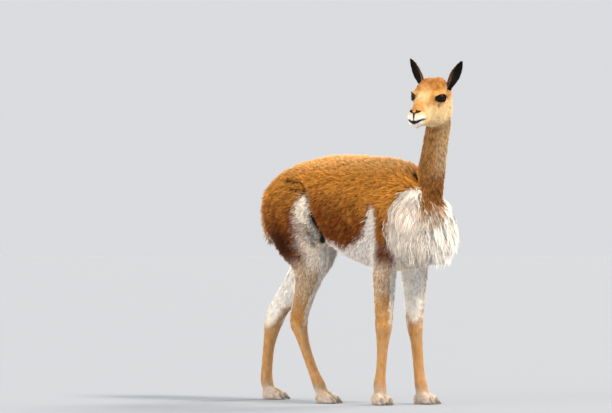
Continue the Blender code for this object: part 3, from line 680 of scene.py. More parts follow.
def buildHead():
    skull = barrelPiece("skull", head["rows"], head["power"], 56, 60)
    lumps = []
    for hand in hands:
        out = Matrix.Rotation(hand * math.radians(12), 4, "Z")
        for name, (place, radii) in head["eyeLumps"].items():
            lumps.append(ellipsoid(name, eyePlace(hand)[0] + mirrored(place, hand), radii, out))
        for name, (place, radii) in head["lumps"].items():
            lumps.append(ellipsoid(name, mirrored(place, hand), radii))
    neckTop = limbPiece("neckTop", body["neck"], 40, 44)
    keepSide(neckTop, Vector((0, 0, head["neckTop"])), -up)
    neckTop.data.transform(headInverse)
    joinSolids(skull, lumps + [neckTop])
    remesh(skull, head["roughVoxel"], head["roughSmoothing"])
    # a ball for the lids, the opening between them, and the socket behind
    ball = (eyes["radius"] + eyes["lidThickness"],) * 3
    joinSolids(skull, [ellipsoid("lid", eyePlace(hand)[0], ball) for hand in hands])
    outlines = [(lidLine(hand, 28, 1.0, 0.0120), lidLine(hand, 28, 1.12, 0.034)) for hand in hands]
    joinSolids(skull, [loftPiece("opening", outline) for outline in outlines], "DIFFERENCE")
    socket = (eyes["radius"] + eyes["clearance"],) * 3
    sockets = [ellipsoid("socket", eyePlace(hand)[0], socket, None, 32, 24) for hand in hands]
    joinSolids(skull, sockets, "DIFFERENCE")
    joinSolids(skull, faceCutters(), "DIFFERENCE")
    remesh(skull, head["voxel"], head["smoothing"])
    joinSolids(skull, [lidRim("lidRim", hand) for hand in hands])
    return skull


# where each kind of coat grows, read from a place on the body

photoRight = np.array((0.788, 0.616, 0.0))  # the photo's right, along the ground
bibMiddle, bibRoundness = 0.24, 1.2
edges = {
    # heights, and how far forward the area's edge lies at each
    "bib": (
        (0.440, 0.511, 0.554, 0.605, 0.640, 0.666, 0.700, 0.730, 0.748),
        (0.240, 0.238, 0.244, 0.248, 0.240, 0.236, 0.248, 0.260, 0.290),
    ),
    "neck": ((0.650, 0.691, 0.743, 0.805, 0.825, 0.860), (0.335, 0.327, 0.315, 0.304, 0.285, 0.250)),
    "pitBack": ((0.46, 0.542, 0.577, 0.617, 0.657, 0.686), (0.060, 0.088, 0.114, 0.132, 0.145, 0.156)),
    "pitFront": ((0.513, 0.571, 0.629, 0.680), (0.158, 0.173, 0.180, 0.176)),
    "thighBack": (
        (0.400, 0.511, 0.546, 0.595, 0.616, 0.651, 0.700, 0.738),
        (-0.190, -0.163, -0.176, -0.172, -0.176, -0.182, -0.160, -0.126),
    ),
    "thighFront": (
        (0.547, 0.571, 0.605, 0.646, 0.675, 0.722, 0.740),
        (-0.02, -0.070, -0.086, -0.090, -0.100, -0.108, -0.115),
    ),
    # places along the body, and how high the belly's white reaches at each
    "belly": ((-0.085, -0.030, 0.006, 0.063, 0.101), (0.571, 0.571, 0.547, 0.556, 0.577)),
}
coatDepths = {
    # metres from the skin to the tips of the coat
    "trunk": 0.015, "leg": 0.0028, "thighMore": 0.0040, "neck": 0.0095, "bibMore": 0.004, "tail": 0.012,
    "face": 0.0034, "muzzleLess": 0.0022, "browMore": 0.0030, "backMore": 0.0020,
}


def edgeAt(name, place):
    return np.interp(place, *edges[name])


def headPlaces(spots):
    turn = np.array(headInverse)
    return spots @ turn[:3, :3].T + turn[:3, 3]


def headShare(places):
    # 1 on the head, 0 on the neck
    return ramp(-0.012, 0.012, (places - head["cutPoint"]) @ head["cutNormal"])


def eyeDistance(places):
    return np.minimum(*(np.linalg.norm(places - np.array(eyePlace(hand)[0]), axis=1) for hand in hands))


def asideOf(spots):
    # how far each place lies to the right in the photo
    return photoRight[0] * spots[:, 0] + photoRight[1] * spots[:, 1]


def neckColumn(spots):
    # 1 on the brown column of the neck, down to where the bib covers it
    x, y, z = spots.T
    covered = ramp(0.752, 0.728, z) * ramp(0.283, 0.296, asideOf(spots) + 0.010 * ramp(0.70, 0.66, z))
    sides = ramp(0.090, 0.074, np.abs(y)) * (1 - covered)
    return ramp(-0.007, 0.007, x - edgeAt("neck", z)) * ramp(0.622, 0.660, z) * sides


def bibShare(spots):
    x, z = spots[:, 0], spots[:, 2]
    inside = ramp(-0.008, 0.008, x - edgeAt("bib", z)) * ramp(0.440, 0.470, z) * ramp(0.754, 0.738, z)
    return inside * (1 - neckColumn(spots))


def bibOutward(spots):
    # level, away from the middle of the chest
    x, y, z = spots.T
    return unit(np.stack([x - bibMiddle, bibRoundness * y, 0 * z], axis=1))


def tailShare(spots, front=-0.366, back=-0.378, core=0.040):
    x, y, z = spots.T
    return ramp(front, back, x) * ramp(0.56, 0.60, z) * ramp(0.050, core, np.abs(y))


def coatDepth(spots):
    # how thick the coat is: the skin lies this far under its tips
    deep = coatDepths
    places = headPlaces(spots)
    onHead = headShare(places)
    z = spots[:, 2]
    leg = deep["leg"] + deep["thighMore"] * ramp(0.24, 0.44, z)
    depth = np.maximum(deep["trunk"] * ramp(0.44, 0.54, z), leg)
    neck = ramp(0.74, 0.82, z) * neckColumn(spots)
    depth = depth * (1 - neck) + deep["neck"] * neck
    depth += deep["bibMore"] * bibShare(spots)
    tail = tailShare(spots, -0.355, -0.372, 0.035)
    depth = depth * (1 - tail) + deep["tail"] * tail
    ahead, _, above = places.T
    face = deep["face"] - deep["muzzleLess"] * ramp(0.020, 0.070, ahead)
    face += deep["browMore"] * ramp(0.030, 0.060, above) + deep["backMore"] * ramp(-0.03, -0.07, ahead)
    face *= ramp(0.024, 0.034, eyeDistance(places))
    return depth * (1 - onHead) + face * onHead


creases = {
    # folds as points on the near side: over the hip, the gap in front of the thigh, the shoulder
    "hip": [
        (-0.225, -0.118, 0.775), (-0.200, -0.125, 0.7765), (-0.178, -0.130, 0.771), (-0.158, -0.132, 0.770),
        (-0.139, -0.135, 0.762), (-0.124, -0.138, 0.7455),
    ],
    "fold": [
        (-0.198, -0.130, 0.7485), (-0.172, -0.134, 0.7425), (-0.150, -0.136, 0.7455),
        (-0.130, -0.137, 0.7400),
    ],
    "thigh": [
        (-0.123, -0.138, 0.7455), (-0.110, -0.136, 0.7045), (-0.103, -0.132, 0.675), (-0.097, -0.128, 0.650),
    ],
    "gap": [
        (-0.107, -0.128, 0.654), (-0.101, -0.118, 0.630), (-0.096, -0.108, 0.605), (-0.087, -0.094, 0.572),
    ],
    "shoulder": [(0.270, -0.034, 0.799), (0.284, -0.034, 0.785), (0.300, -0.031, 0.771)],
    "sideways": 0.2,
    "width": {"hip": 0.0060, "fold": 0.0055, "thigh": 0.0055, "gap": 0.0195, "shoulder": 0.0050},
    "depth": {"hip": 0.012, "fold": 0.007, "thigh": 0.009, "gap": 0.030, "shoulder": 0.014},
    # painted shade in each fold: how dark it is drawn
    "dark": {"hip": 1.0, "fold": 0.95, "thigh": 0.90, "gap": 1.0, "shoulder": 1.0},
    # tufts over a fold are short: how far ahead of it and above it, over what width, and by what share
    "shortAhead": 0.012,
    "shortAbove": 0.009,
    "shortWidth": 0.013,
    "shortGap": 0.027,
    "shortBy": 0.78,
}
creaseNames = ("hip", "fold", "thigh", "gap", "shoulder")


def lineDistance(spots, line):
    # from each place to the nearest point of a line through these points
    best = np.full(len(spots), 1e9)
    for start, end in zip(line, line[1:]):
        start, end = np.array(start), np.array(end)
        along = end - start
        share = np.clip((spots - start) @ along / (along @ along), 0, 1)
        best = np.minimum(best, np.linalg.norm(spots - start - share[:, None] * along, axis=1))
    return best


def folded(spots):
    # both flanks laid on the near one, and nearly flat, so that the coat's depth matters little
    return np.stack([spots[:, 0], -np.abs(spots[:, 1]) * creases["sideways"], spots[:, 2]], axis=1)


creaseLines = {name: [(x, y * creases["sideways"], z) for x, y, z in creases[name]] for name in creaseNames}


def creaseShare(spots, name):
    return hump(lineDistance(folded(spots), creaseLines[name]), 0.0, creases["width"][name])


def buildSkin():
    skin = buildBody()
    print("body", len(skin.data.polygons), "faces")
    thinOut(skin, body["triangles"])
    spots, facing = pointsOf(skin), normalsOf(skin)
    sunk = coatDepth(spots)
    for name in creaseNames:
        sunk += creases["depth"][name] * creaseShare(spots, name)
    neckTop, join = head["neckTop"], head["neckJoin"]
    neckEnd = ramp(neckTop + join["body"][0], neckTop + join["body"][1], spots[:, 2])
    setPoints(skin, spots - facing * (sunk + join["bodyIn"] * neckEnd)[:, None])

    face = buildHead()
    print("head", len(face.data.polygons), "faces")
    face.data.transform(headMatrix)
    spots, facing = pointsOf(face), normalsOf(face)
    stub = ramp(neckTop + join["head"], neckTop, spots[:, 2])
    level = unit(facing * np.array((1.0, 1.0, 0.0)))
    spots = spots - facing * (coatDepth(spots) * (1 - stub))[:, None]
    setPoints(face, spots - level * (join["headIn"] * stub)[:, None])
    thinOut(face, head["triangles"])
    joinSolids(skin, [face])

    spots, seam = pointsOf(skin), body["seam"]
    away = np.hypot(spots[:, 0] - seam["x"], spots[:, 1])
    share = hump(spots[:, 2], seam["height"], seam["tall"]) * ramp(*seam["wide"], away)
    group = skin.vertex_groups.new(name="seam")
    for i in np.nonzero(share > 0.02)[0]:
        group.add([int(i)], float(share[i]), "REPLACE")
    applyModifier(skin, "SMOOTH", factor=0.5, iterations=seam["smoothing"], vertex_group="seam")
    skin.vertex_groups.clear()
    unwrap(skin)
    print("skin", len(skin.data.polygons), "faces")
    return skin


# markings: each is a share from 0 to 1 at a place on the skin, so that skin and coat agree


def eyeAlmond(places, wide, high):
    # 0 at the middle of either eye, 1 on an almond of these half sizes, more outside it
    best = np.full(len(places), 9.0)
    for hand in hands:
        centre, axis, ahead, lift = eyeAxes(hand)
        local = places - np.array(centre)
        a, l, out = local @ np.array(ahead) + 0.001, local @ np.array(lift) + 0.002, local @ np.array(axis)
        l = l + 0.12 * a
        narrow = np.sqrt(np.clip(1 - (a / (wide * 1.12)) ** 2, 0.02, 1))
        ring = np.maximum(np.abs(a) / wide, np.abs(l) / (high * narrow))
        ring = 0.5 * ring + 0.5 * np.hypot(a / wide, l / high)
        best = np.minimum(best, ring + 9 * ramp(0.006, -0.002, out))
    return best


# Areas of colour: how strong each is, and what it is multiplied by, which is a reading, where it
# begins and is whole (ramp) or its middle and width (hump), and how other readings shift it
faceAreas = {
    "crown": (0.34, (ramp, "z", 0.018, 0.045, {"wobble": 0.010})),
    "noseTip": (0.15, (hump, "x", 0.078, 0.018), (ramp, "z", -0.05, -0.04)),
    "nape": (0.10, (ramp, "z", 0.035, 0.055), (ramp, "x", -0.03, -0.07)),
    "muzzleTop": (0.75, (ramp, "x", 0.058, 0.074), (ramp, "z", -0.052, -0.044)),
    "mouth": (1.0, (ramp, "x", 0.066, 0.082), (ramp, "z", -0.056, -0.062)),
    "pale": {
        "jaw": (0.80, (ramp, "jaw", -0.008, -0.046)),
        "underEye": (
            0.86, (hump, "z", -0.036, 0.014), (ramp, "wide", 0.030, 0.044), (hump, "x", -0.012, 0.022),
        ),
        "bridge": (0.58, (ramp, "wide", 0.034, 0.014), (hump, "x", 0.034, 0.026)),
        # painted light: the bridge is paler on the head's right side
        "bridgeRight": (
            0.80, (ramp, "y", 0.006, -0.012), (ramp, "wide", 0.036, 0.026),
            (hump, "x", 0.030, 0.024, {"z": -0.4}),
        ),
        "brow": (0.55, (ramp, "wide", 0.020, 0.030), (hump, "x", -0.048, 0.026), (hump, "z", 0.022, 0.014)),
        "side": (0.22, (ramp, "z", 0.030, 0.005), (ramp, "x", -0.06, -0.02)),
    },
    "dark": {
        "nostril": (1.0, (ramp, "nostril", 0.0125, 0.0085)),
        "noseTop": (
            0.30, (ramp, "wide", 0.016, 0.006), (ramp, "x", 0.080, 0.094), (ramp, "z", -0.058, -0.050),
        ),
        "cleft": (
            0.95, (ramp, "cleft", 0.0050, 0.0016), (ramp, "x", 0.086, 0.092),
            (ramp, "z", -0.050, -0.056), (ramp, "z", -0.092, -0.086),
        ),
        # dark lip edges, and painted shade along and under the line between the lips
        "lips": (
            0.97, (ramp, "lips", 1.35, 0.55), (ramp, "x", 0.055, 0.064), (ramp, "wide", 0.032, 0.020),
            (ramp, "level", -0.106, -0.101),
        ),
        "lid": (1.0, (ramp, "lid", 1.10, 0.93)),
        "beforeEye": (
            0.40, (hump, "x", 0.021, 0.010), (hump, "wide", 0.036, 0.012), (hump, "z", -0.008, 0.015),
        ),
        "belowEye": (
            0.50, (hump, "x", 0.004, 0.006), (ramp, "wide", 0.035, 0.045), (hump, "z", -0.030, 0.008),
        ),
    },
}
bodyAreas = {
    "leg": (1.0, (ramp, "z", 0.53, 0.46)),
    "front": (1.0, (ramp, "x", 0.02, 0.06)),
    # the belly, behind the elbow, the flap of skin behind the thigh's front edge, and the arm pit
    "belly": (
        1.0, (ramp, "belly", 0.010, -0.010, {"ragged": 0.010}), (ramp, "x", -0.16, -0.10),
        (ramp, "x", 0.19, 0.15),
    ),
    "under": (
        1.0, (ramp, "above", -0.15, -0.55), (ramp, "x", 0.10, 0.16), (ramp, "z", 0.43, 0.46),
        (ramp, "z", 0.60, 0.56),
    ),
    "flap": (
        1.0, (ramp, "ahead", 0.20, 0.50), (ramp, "z", 0.58, 0.54), (ramp, "z", 0.40, 0.45),
        (hump, "x", -0.170, 0.075),
    ),
    "pit": (
        1.0, (ramp, "pitBack", -0.008, 0.008, {"ragged": 0.006}),
        (ramp, "pitFront", 0.006, -0.006, {"ragged": 0.003}),
        (ramp, "z", 0.698, 0.680), (ramp, "z", 0.44, 0.48),
    ),
    # the rump under the tail, and the dust on the feet, which thins out above the toes
    "rear": (
        1.0, (ramp, "behind", 0.40, 0.80, {"ragged": 0.12}), (ramp, "wide", 0.115, 0.060, {"ragged": 0.010}),
        (ramp, "z", 0.76, 0.71), (ramp, "z", 0.44, 0.50), (ramp, "x", -0.12, -0.18),
    ),
    "dust": (1.0, (ramp, "z", 0.095, 0.020, {"ragged": 0.014, "wobble": 0.010})),
    # the rump stays golden further down behind the hip
    "goldRump": (0.55, (ramp, "z", 0.60, 0.70), (ramp, "x", -0.24, -0.33)),
    "dark": {
        "thigh": (
            0.80, (hump, "thighLine", -0.225, 0.048), (hump, "z", 0.560, 0.075), (ramp, "wide", 0.05, 0.09),
        ),
        # the lower flank's coat is darker, and partly painted shade
        "flank": (0.16, (hump, "x", 0.010, 0.090), (hump, "z", 0.620, 0.050), (ramp, "wide", 0.07, 0.10)),
        "elbow": (0.25, (hump, "x", 0.195, 0.03), (hump, "z", 0.520, 0.030), (ramp, "outward", 0.4, 0.8)),
    },
    "pale": {
        "legBack": (0.30, (ramp, "behind", 0.55, 0.85), (ramp, "z", 0.36, 0.30)),
        "legInside": (0.15, (ramp, "inward", 0.20, 0.80), (ramp, "z", 0.34, 0.28)),
        # painted light: paler along the top of the back, where it faces up
        "bleached": (0.26, (ramp, "above", 0.45, 0.95, {"ragged": 0.08}), (ramp, "z", 0.76, 0.83)),
    },
}


def areaShare(area, readings):
    # how strong an area is at each place
    share, *steps = area
    for shape, name, first, second, *shifts in steps:
        value = readings[name]
        for key, amount in (shifts[0] if shifts else {}).items():
            value = value + amount * readings[key]
        share = share * (ramp(first, second, value) if shape is ramp else hump(value, first, second))
    return share


def faceMarks(places):
    # golden forehead, pale bridge and cheeks, with painted light on one side of the bridge, dark nose, lids
    # and lips, with painted shade along the mouth line
    x, y, level = places.T
    z = level + 0.0075 * ramp(0.03, 0.085, x)
    wide = np.abs(y)
    wobble = waves(places, 0.028, 5)
    slope = level + 0.0570 - 0.42 * (wide - 0.0125)
    nostril = np.linalg.norm(np.stack([x - 0.0965, 0.78 * (wide - 0.0125), 2.5 * slope], axis=1), axis=1)
    # the dark band sits a little low in the middle: painted shade under the upper lip
    lips = np.abs(level - mouthLevel(y) + 0.0016 * ramp(0.026, 0.012, wide))
    readings = {
        "x": x, "y": y, "z": z, "level": level, "wide": wide, "wobble": wobble, "nostril": nostril,
        "jaw": z - 0.30 * np.clip(-x, 0, 0.1) + 0.10 * np.clip(x, 0, 1) + 0.004 * wobble,
        "cleft": wide - 0.10 * (level + 0.070),
        "lips": lips / (0.0068 - 0.0042 * np.clip(wide / mouth["halfWidth"], 0, 1)),
        "lid": eyeAlmond(places, *eyes["darkLid"]),
    }
    crown, noseTip, umber, muzzleTop, white = (
        areaShare(faceAreas[name], readings) for name in ("crown", "noseTip", "nape", "muzzleTop", "mouth")
    )
    gold = 0.92 - crown - noseTip
    pale, dark = (
        highest(*(areaShare(area, readings) for area in faceAreas[kind].values()))
        for kind in ("pale", "dark")
    )
    pale = np.maximum(pale * (1 - muzzleTop), white)
    gold = gold * (1 - 0.8 * white)
    return np.stack([pale * (1 - 0.6 * dark), dark, gold, umber], axis=1)


def bodyMarks(spots, facing):
    x, y, z = spots.T
    wide = np.abs(y)
    ahead, inward, above = facing[:, 0], -facing[:, 1] * np.sign(y), facing[:, 2]
    wobble, ragged = waves(spots, 0.05, 3), waves(spots, 0.014, 4)
    streak = waves(spots * np.array((1.0, 1.0, 0.3)), 0.011, 13)
    readings = {
        "x": x, "z": z, "wide": wide, "ahead": ahead, "behind": -ahead, "inward": inward, "outward": -inward,
        "above": above, "ragged": ragged, "wobble": wobble, "thighLine": x + 0.45 * (z - 0.56),
        "belly": z - edgeAt("belly", x),
        "pitBack": x - edgeAt("pitBack", z), "pitFront": x - edgeAt("pitFront", z),
    }
    leg, front, belly, under, flap, pit, rear, dust, goldRump = (
        areaShare(bodyAreas[name], readings)
        for name in ("leg", "front", "belly", "under", "flap", "pit", "rear", "dust", "goldRump")
    )
    # legs: tan outside, orange at the joints, white inner sides and rims
    rim = highest(
        ramp(0.84, 0.97, ahead + 0.05 * ragged + 0.10 * (1 - front)), ramp(0.45, 0.72, -ahead + 0.05 * ragged)
    )
    rim = rim * ramp(0.61, 0.57, z + 0.06 * front) * (0.25 + 0.75 * ramp(0.22, 0.36, z + 0.02 * ragged))
    inner = ramp(0.0, 0.50, inward + 0.10 * ragged - front * (0.22 - 0.55 * ramp(-0.02, 0.02, y)))
    inner = inner * ramp(0.60, 0.54, z) * ramp(0.245, 0.325, z + 0.025 * wobble)
    white = np.maximum(0.88 * rim, inner)
    # the front of the thigh
    soft = 0.020 + 0.050 * ramp(0.68, 0.60, z)
    thigh = np.clip((x - edgeAt("thighBack", z) + 0.010 + 0.009 * ragged) / soft, 0, 1)
    thigh = thigh * ramp(0.004, -0.004, x - edgeAt("thighFront", z))
    thigh = thigh * ramp(0.748, 0.715, z) * ramp(0.455, 0.56, z + 0.02 * wobble + 0.5 * (x + 0.14))
    bib, tail, neck = bibShare(spots), tailShare(spots), neckColumn(spots)

    gold = highest(
        ramp(0.600, 0.810, z + 0.030 * wobble + 0.11 * ramp(0.05, 0.25, x) + 0.03 * ragged),
        goldRump,
        leg * (0.50 + 0.28 * ramp(0.42, 0.34, z)),
    )
    gold = gold * (1 - 0.85 * pit)
    gold = highest(gold * (1 - 0.5 * thigh), 0.30 * thigh, 0.7 * rear)
    gold = gold * (1 - 0.85 * bib) * (1 - 0.85 * np.maximum(white, dust))
    gold = np.maximum(gold, 0.62 * tail)
    umber = np.maximum(0.6 * dust, 0.3 * tail)

    dark = highest(
        *(areaShare(area, readings) for area in bodyAreas["dark"].values()),
        leg * np.clip(0.05 + 0.10 * streak + 0.08 * ramp(0.30, 0.42, z) * (1 - front), 0, 1),
        # painted shade: the arm pit a little darker
        0.13 * pit,
    )
    dark = dark * (1 - rear) * (1 - bib) * (1 - 0.8 * thigh)
    # painted shade along the folds
    for name in creaseNames:
        dark = np.maximum(dark, creases["dark"][name] * ramp(0.25, 0.75, creaseShare(spots, name)))

    pale = highest(
        leg * ramp(0.26, 0.44, z + 0.03 * wobble) * (0.54 + 0.02 * front + 0.24 * streak),
        ramp(0.36, 0.26, z + 0.03 * wobble) * (0.24 + 0.14 * streak),
        *(areaShare(area, readings) for area in bodyAreas["pale"].values()),
        white, 0.80 * belly * ramp(0.440, 0.475, z), 0.92 * under, 0.90 * flap, 0.88 * pit, bib,
        (0.90 + 0.10 * ragged) * thigh, (0.50 + 0.12 * ragged) * rear, (0.52 + 0.16 * ragged) * dust,
    )
    # the tail: tan outside, pale at its rim
    tailPale = 0.24 + 0.30 * ramp(0.68, 0.59, z + 0.02 * ragged) + 0.34 * ramp(0.016, 0.032, wide)
    pale = pale * (1 - tail) + tail * tailPale

    # the neck: tan with long darker streaks, and painted shade on its sides and low down
    streak = waves(spots * np.array((1.0, 1.0, 0.12)), 0.012, 9)
    umber = umber * (1 - neck) + neck * (0.62 + 0.15 * streak) * (0.30 + 0.60 * ramp(0.74, 0.88, z))
    gold = gold * (1 - neck) + neck * (0.34 + 0.48 * ramp(0.74, 0.95, z))
    # painted shade: darker where the neck turns away from the front, and low on the neck
    shaded = 0.15 * ramp(0.5, -0.2, ahead) + 0.13 * ramp(0.82, 0.74, z)
    dark = dark * (1 - neck) + neck * np.clip(0.10 + 0.16 * streak + shaded, 0, 1)
    throat = 0.34 * ramp(0.35, 0.95, ahead + 0.2 * streak) * ramp(0.77, 0.86, z)
    pale = pale * (1 - neck) + neck * np.maximum(throat, 0.90 * ramp(0.694, 0.632, z + 0.020 * streak))
    return np.stack([pale, dark, gold, umber], axis=1)


def allMarks(spots, facing):
    places = headPlaces(spots)
    share = headShare(places)[:, None]
    return np.clip(bodyMarks(spots, facing) * (1 - share) + faceMarks(places) * share, 0, 1)


def hairLie(spots, facing):
    # the way the hair lies at each place, along the skin
    y, z = spots[:, 1], spots[:, 2]
    one, none = np.ones(len(spots)), np.zeros(len(spots))
    turning = 0.45 * waves(spots, 0.045, 17)
    fall = -0.25 - 0.75 * ramp(0.70, 0.58, z) - 0.5 * ramp(0.05, 0.14, np.abs(y))
    lie = np.stack([-one + 0.25 * waves(spots, 0.06, 19), none, fall + turning], axis=1)
    hang = bibOutward(spots) * (0.15 + 0.85 * ramp(0.60, 0.76, z))[:, None] + np.array((0, 0, -1.0))
    for share, way in (
        (ramp(0.60, 0.50, z), np.stack([-0.35 * one, none, -one], axis=1)),
        (neckColumn(spots), np.stack([-0.18 + 0.15 * turning, 0.2 * turning, -one], axis=1)),
        (bibShare(spots), hang),
        (tailShare(spots), np.stack([-0.25 * one, 3.0 * y, -one], axis=1)),
    ):
        lie = lie * (1 - share[:, None]) + share[:, None] * way
    # on the face it runs from the nose back to the ears and down the cheeks
    places = headPlaces(spots)
    onHead = headShare(places)[:, None]
    _, across, above = places.T
    outward = 0.35 * np.sign(across) * ramp(0.0, 0.02, np.abs(across))
    back = unit(np.stack([-one, outward, -0.55 * ramp(0.02, -0.04, above) + 0.2], axis=1))
    lie = unit(lie) * (1 - onHead) + back @ np.array(headMatrix)[:3, :3].T * onHead
    return alongSkin(lie, facing)


skin = buildSkin()
# surfaces as arrays, so that thousands of tufts can be rooted on them at once


def readSurface(piece):
    mesh = piece.data
    count = len(mesh.polygons)
    corners = np.empty(count * 3, dtype=np.int64)
    mesh.loops.foreach_get("vertex_index", corners)
    corners = corners.reshape(-1, 3)
    spots, facing = pointsOf(piece), normalsOf(piece)
    patch = np.empty(count * 6)
    mesh.uv_layers["OFBake"].uv.foreach_get("vector", patch)
    a, b, c = (spots[corners[:, k]] for k in range(3))
    area = np.linalg.norm(np.cross(b - a, c - a), axis=1) / 2
    middle = (a + b + c) / 3
    # an order that keeps near triangles together, so that picks in even steps spread evenly
    cell = ((middle - middle.min(0)) / 0.012).astype(np.int64)
    code = np.zeros(count, dtype=np.int64)
    for bit in range(8):
        for axis in range(3):
            code |= ((cell[:, axis] >> bit) & 1) << (3 * bit + axis)
    return {
        "corners": corners, "spots": spots, "facing": facing, "patch": patch.reshape(-1, 3, 2),
        "area": area, "middle": middle, "order": np.argsort(code, kind="stable"),
    }


def pickRoots(surface, weight, count, draw):
    share = (surface["area"] * weight)[surface["order"]]
    total = np.cumsum(share)
    steps = (np.arange(count) + draw.random(count)) / count * total[-1]
    rows = surface["order"][np.minimum(np.searchsorted(total, steps), len(total) - 1)]
    first, second = draw.random(count), draw.random(count)
    over = first + second > 1
    first[over], second[over] = 1 - first[over], 1 - second[over]
    blend = np.stack([1 - first - second, first, second], axis=1)
    corners = surface["corners"][rows]
    spots = np.einsum("nk,nkd->nd", blend, surface["spots"][corners])
    facing = unit(np.einsum("nk,nkd->nd", blend, surface["facing"][corners]))
    patch = np.einsum("nk,nkd->nd", blend, surface["patch"][rows])
    return spots, facing, patch, rows


def fastMesh(name, spots, faces):
    mesh = bpy.data.meshes.new(name)
    mesh.vertices.add(len(spots))
    mesh.vertices.foreach_set("co", np.ascontiguousarray(spots, dtype=np.float32).ravel())
    mesh.loops.add(faces.size)
    mesh.loops.foreach_set("vertex_index", np.ascontiguousarray(faces, dtype=np.int32).ravel())
    mesh.polygons.add(len(faces))
    mesh.polygons.foreach_set("loop_start", np.arange(len(faces), dtype=np.int32) * 3)
    mesh.polygons.foreach_set("use_smooth", np.ones(len(faces), dtype=bool))
    mesh.update(calc_edges=True)
    return newObject(name, mesh)


def writeMarks(piece, marks, strand):
    # coatMarks holds pale, dark, gold and umber; strand holds root to tip, tone and clump edge
    writeColours(piece, "coatMarks", marks)
    writeColours(piece, "strand", strand)


def tuftFaces(rings):
    # a closed blade: three sides, a cap at the root and a point
    faces = [(0, 2, 1)]
    for row in range(rings - 1):
        low, high = row * 3, row * 3 + 3
        for k in range(3):
            m = (k + 1) % 3
            faces += [(low + k, low + m, high + m), (low + k, high + m, high + k)]
    low = (rings - 1) * 3
    faces += [(low + k, low + (k + 1) % 3, rings * 3) for k in range(3)]
    return np.array(faces)


def clumpOf(spots, size, draw):
    # for each root, the root that leads its clump, and how near the clump's edge it is
    count = max(1, len(spots) // size)
    leaders = draw.choice(len(spots), count, replace=False)
    tree = KDTree(count)
    for place, leader in enumerate(leaders):
        tree.insert(spots[leader], place)
    tree.balance()
    found = [tree.find(spot) for spot in spots]
    led = leaders[np.array([one[1] for one in found])]
    away = np.array([one[2] for one in found])
    return led, away / max(np.percentile(away, 90), 1e-6)


tufts = {
    # how far single tufts differ from the stated length, width and height
    "lengths": (0.75, 1.2),
    "widths": (0.7, 1.25),
    "heights": (0.65, 1.15),
    "taper": (0.75, 1.0, 0.8, 0.55),  # width at each ring from the root on
    "lowest": 0.0006,  # clear of the floor
    "patch": (0.0012, 0.0026),  # a tuft's own place on the UV map
    "rippleHeight": 0.38,  # how much a raised row of tufts stands out, and how much painted light it gets, with painted shade on the sunk rows
    "rippleLightShade": 0.36,
    "edgeDrop": 0.40,  # how much lower a clump is at its edge
    "drawn": 0.6,  # a tip is drawn aside by no more than this share of its length
    "paleTone": 0.85,  # how much brighter pale hair is
    "readAt": 0.35,  # the markings are read this far down the hair, and blurred by this much
    "blur": 0.0035,
    "goldVaries": 0.10,
}

plainLook = {
    # rings along a tuft, roots to a clump, how far its tips draw together, curl, turn, sink and stand up
    "rings": 2, "clump": 0, "pull": 0.0, "wave": 0.0, "stray": 0.14, "sink": 0.002, "full": 1.0,
    # tone of the coat, painted shade at a clump's edge, tone of one clump against the next, and how even pale
    # hair is
    "tone": 0.0, "gap": 0.0, "patchy": 0.13, "even": 0.5,
}


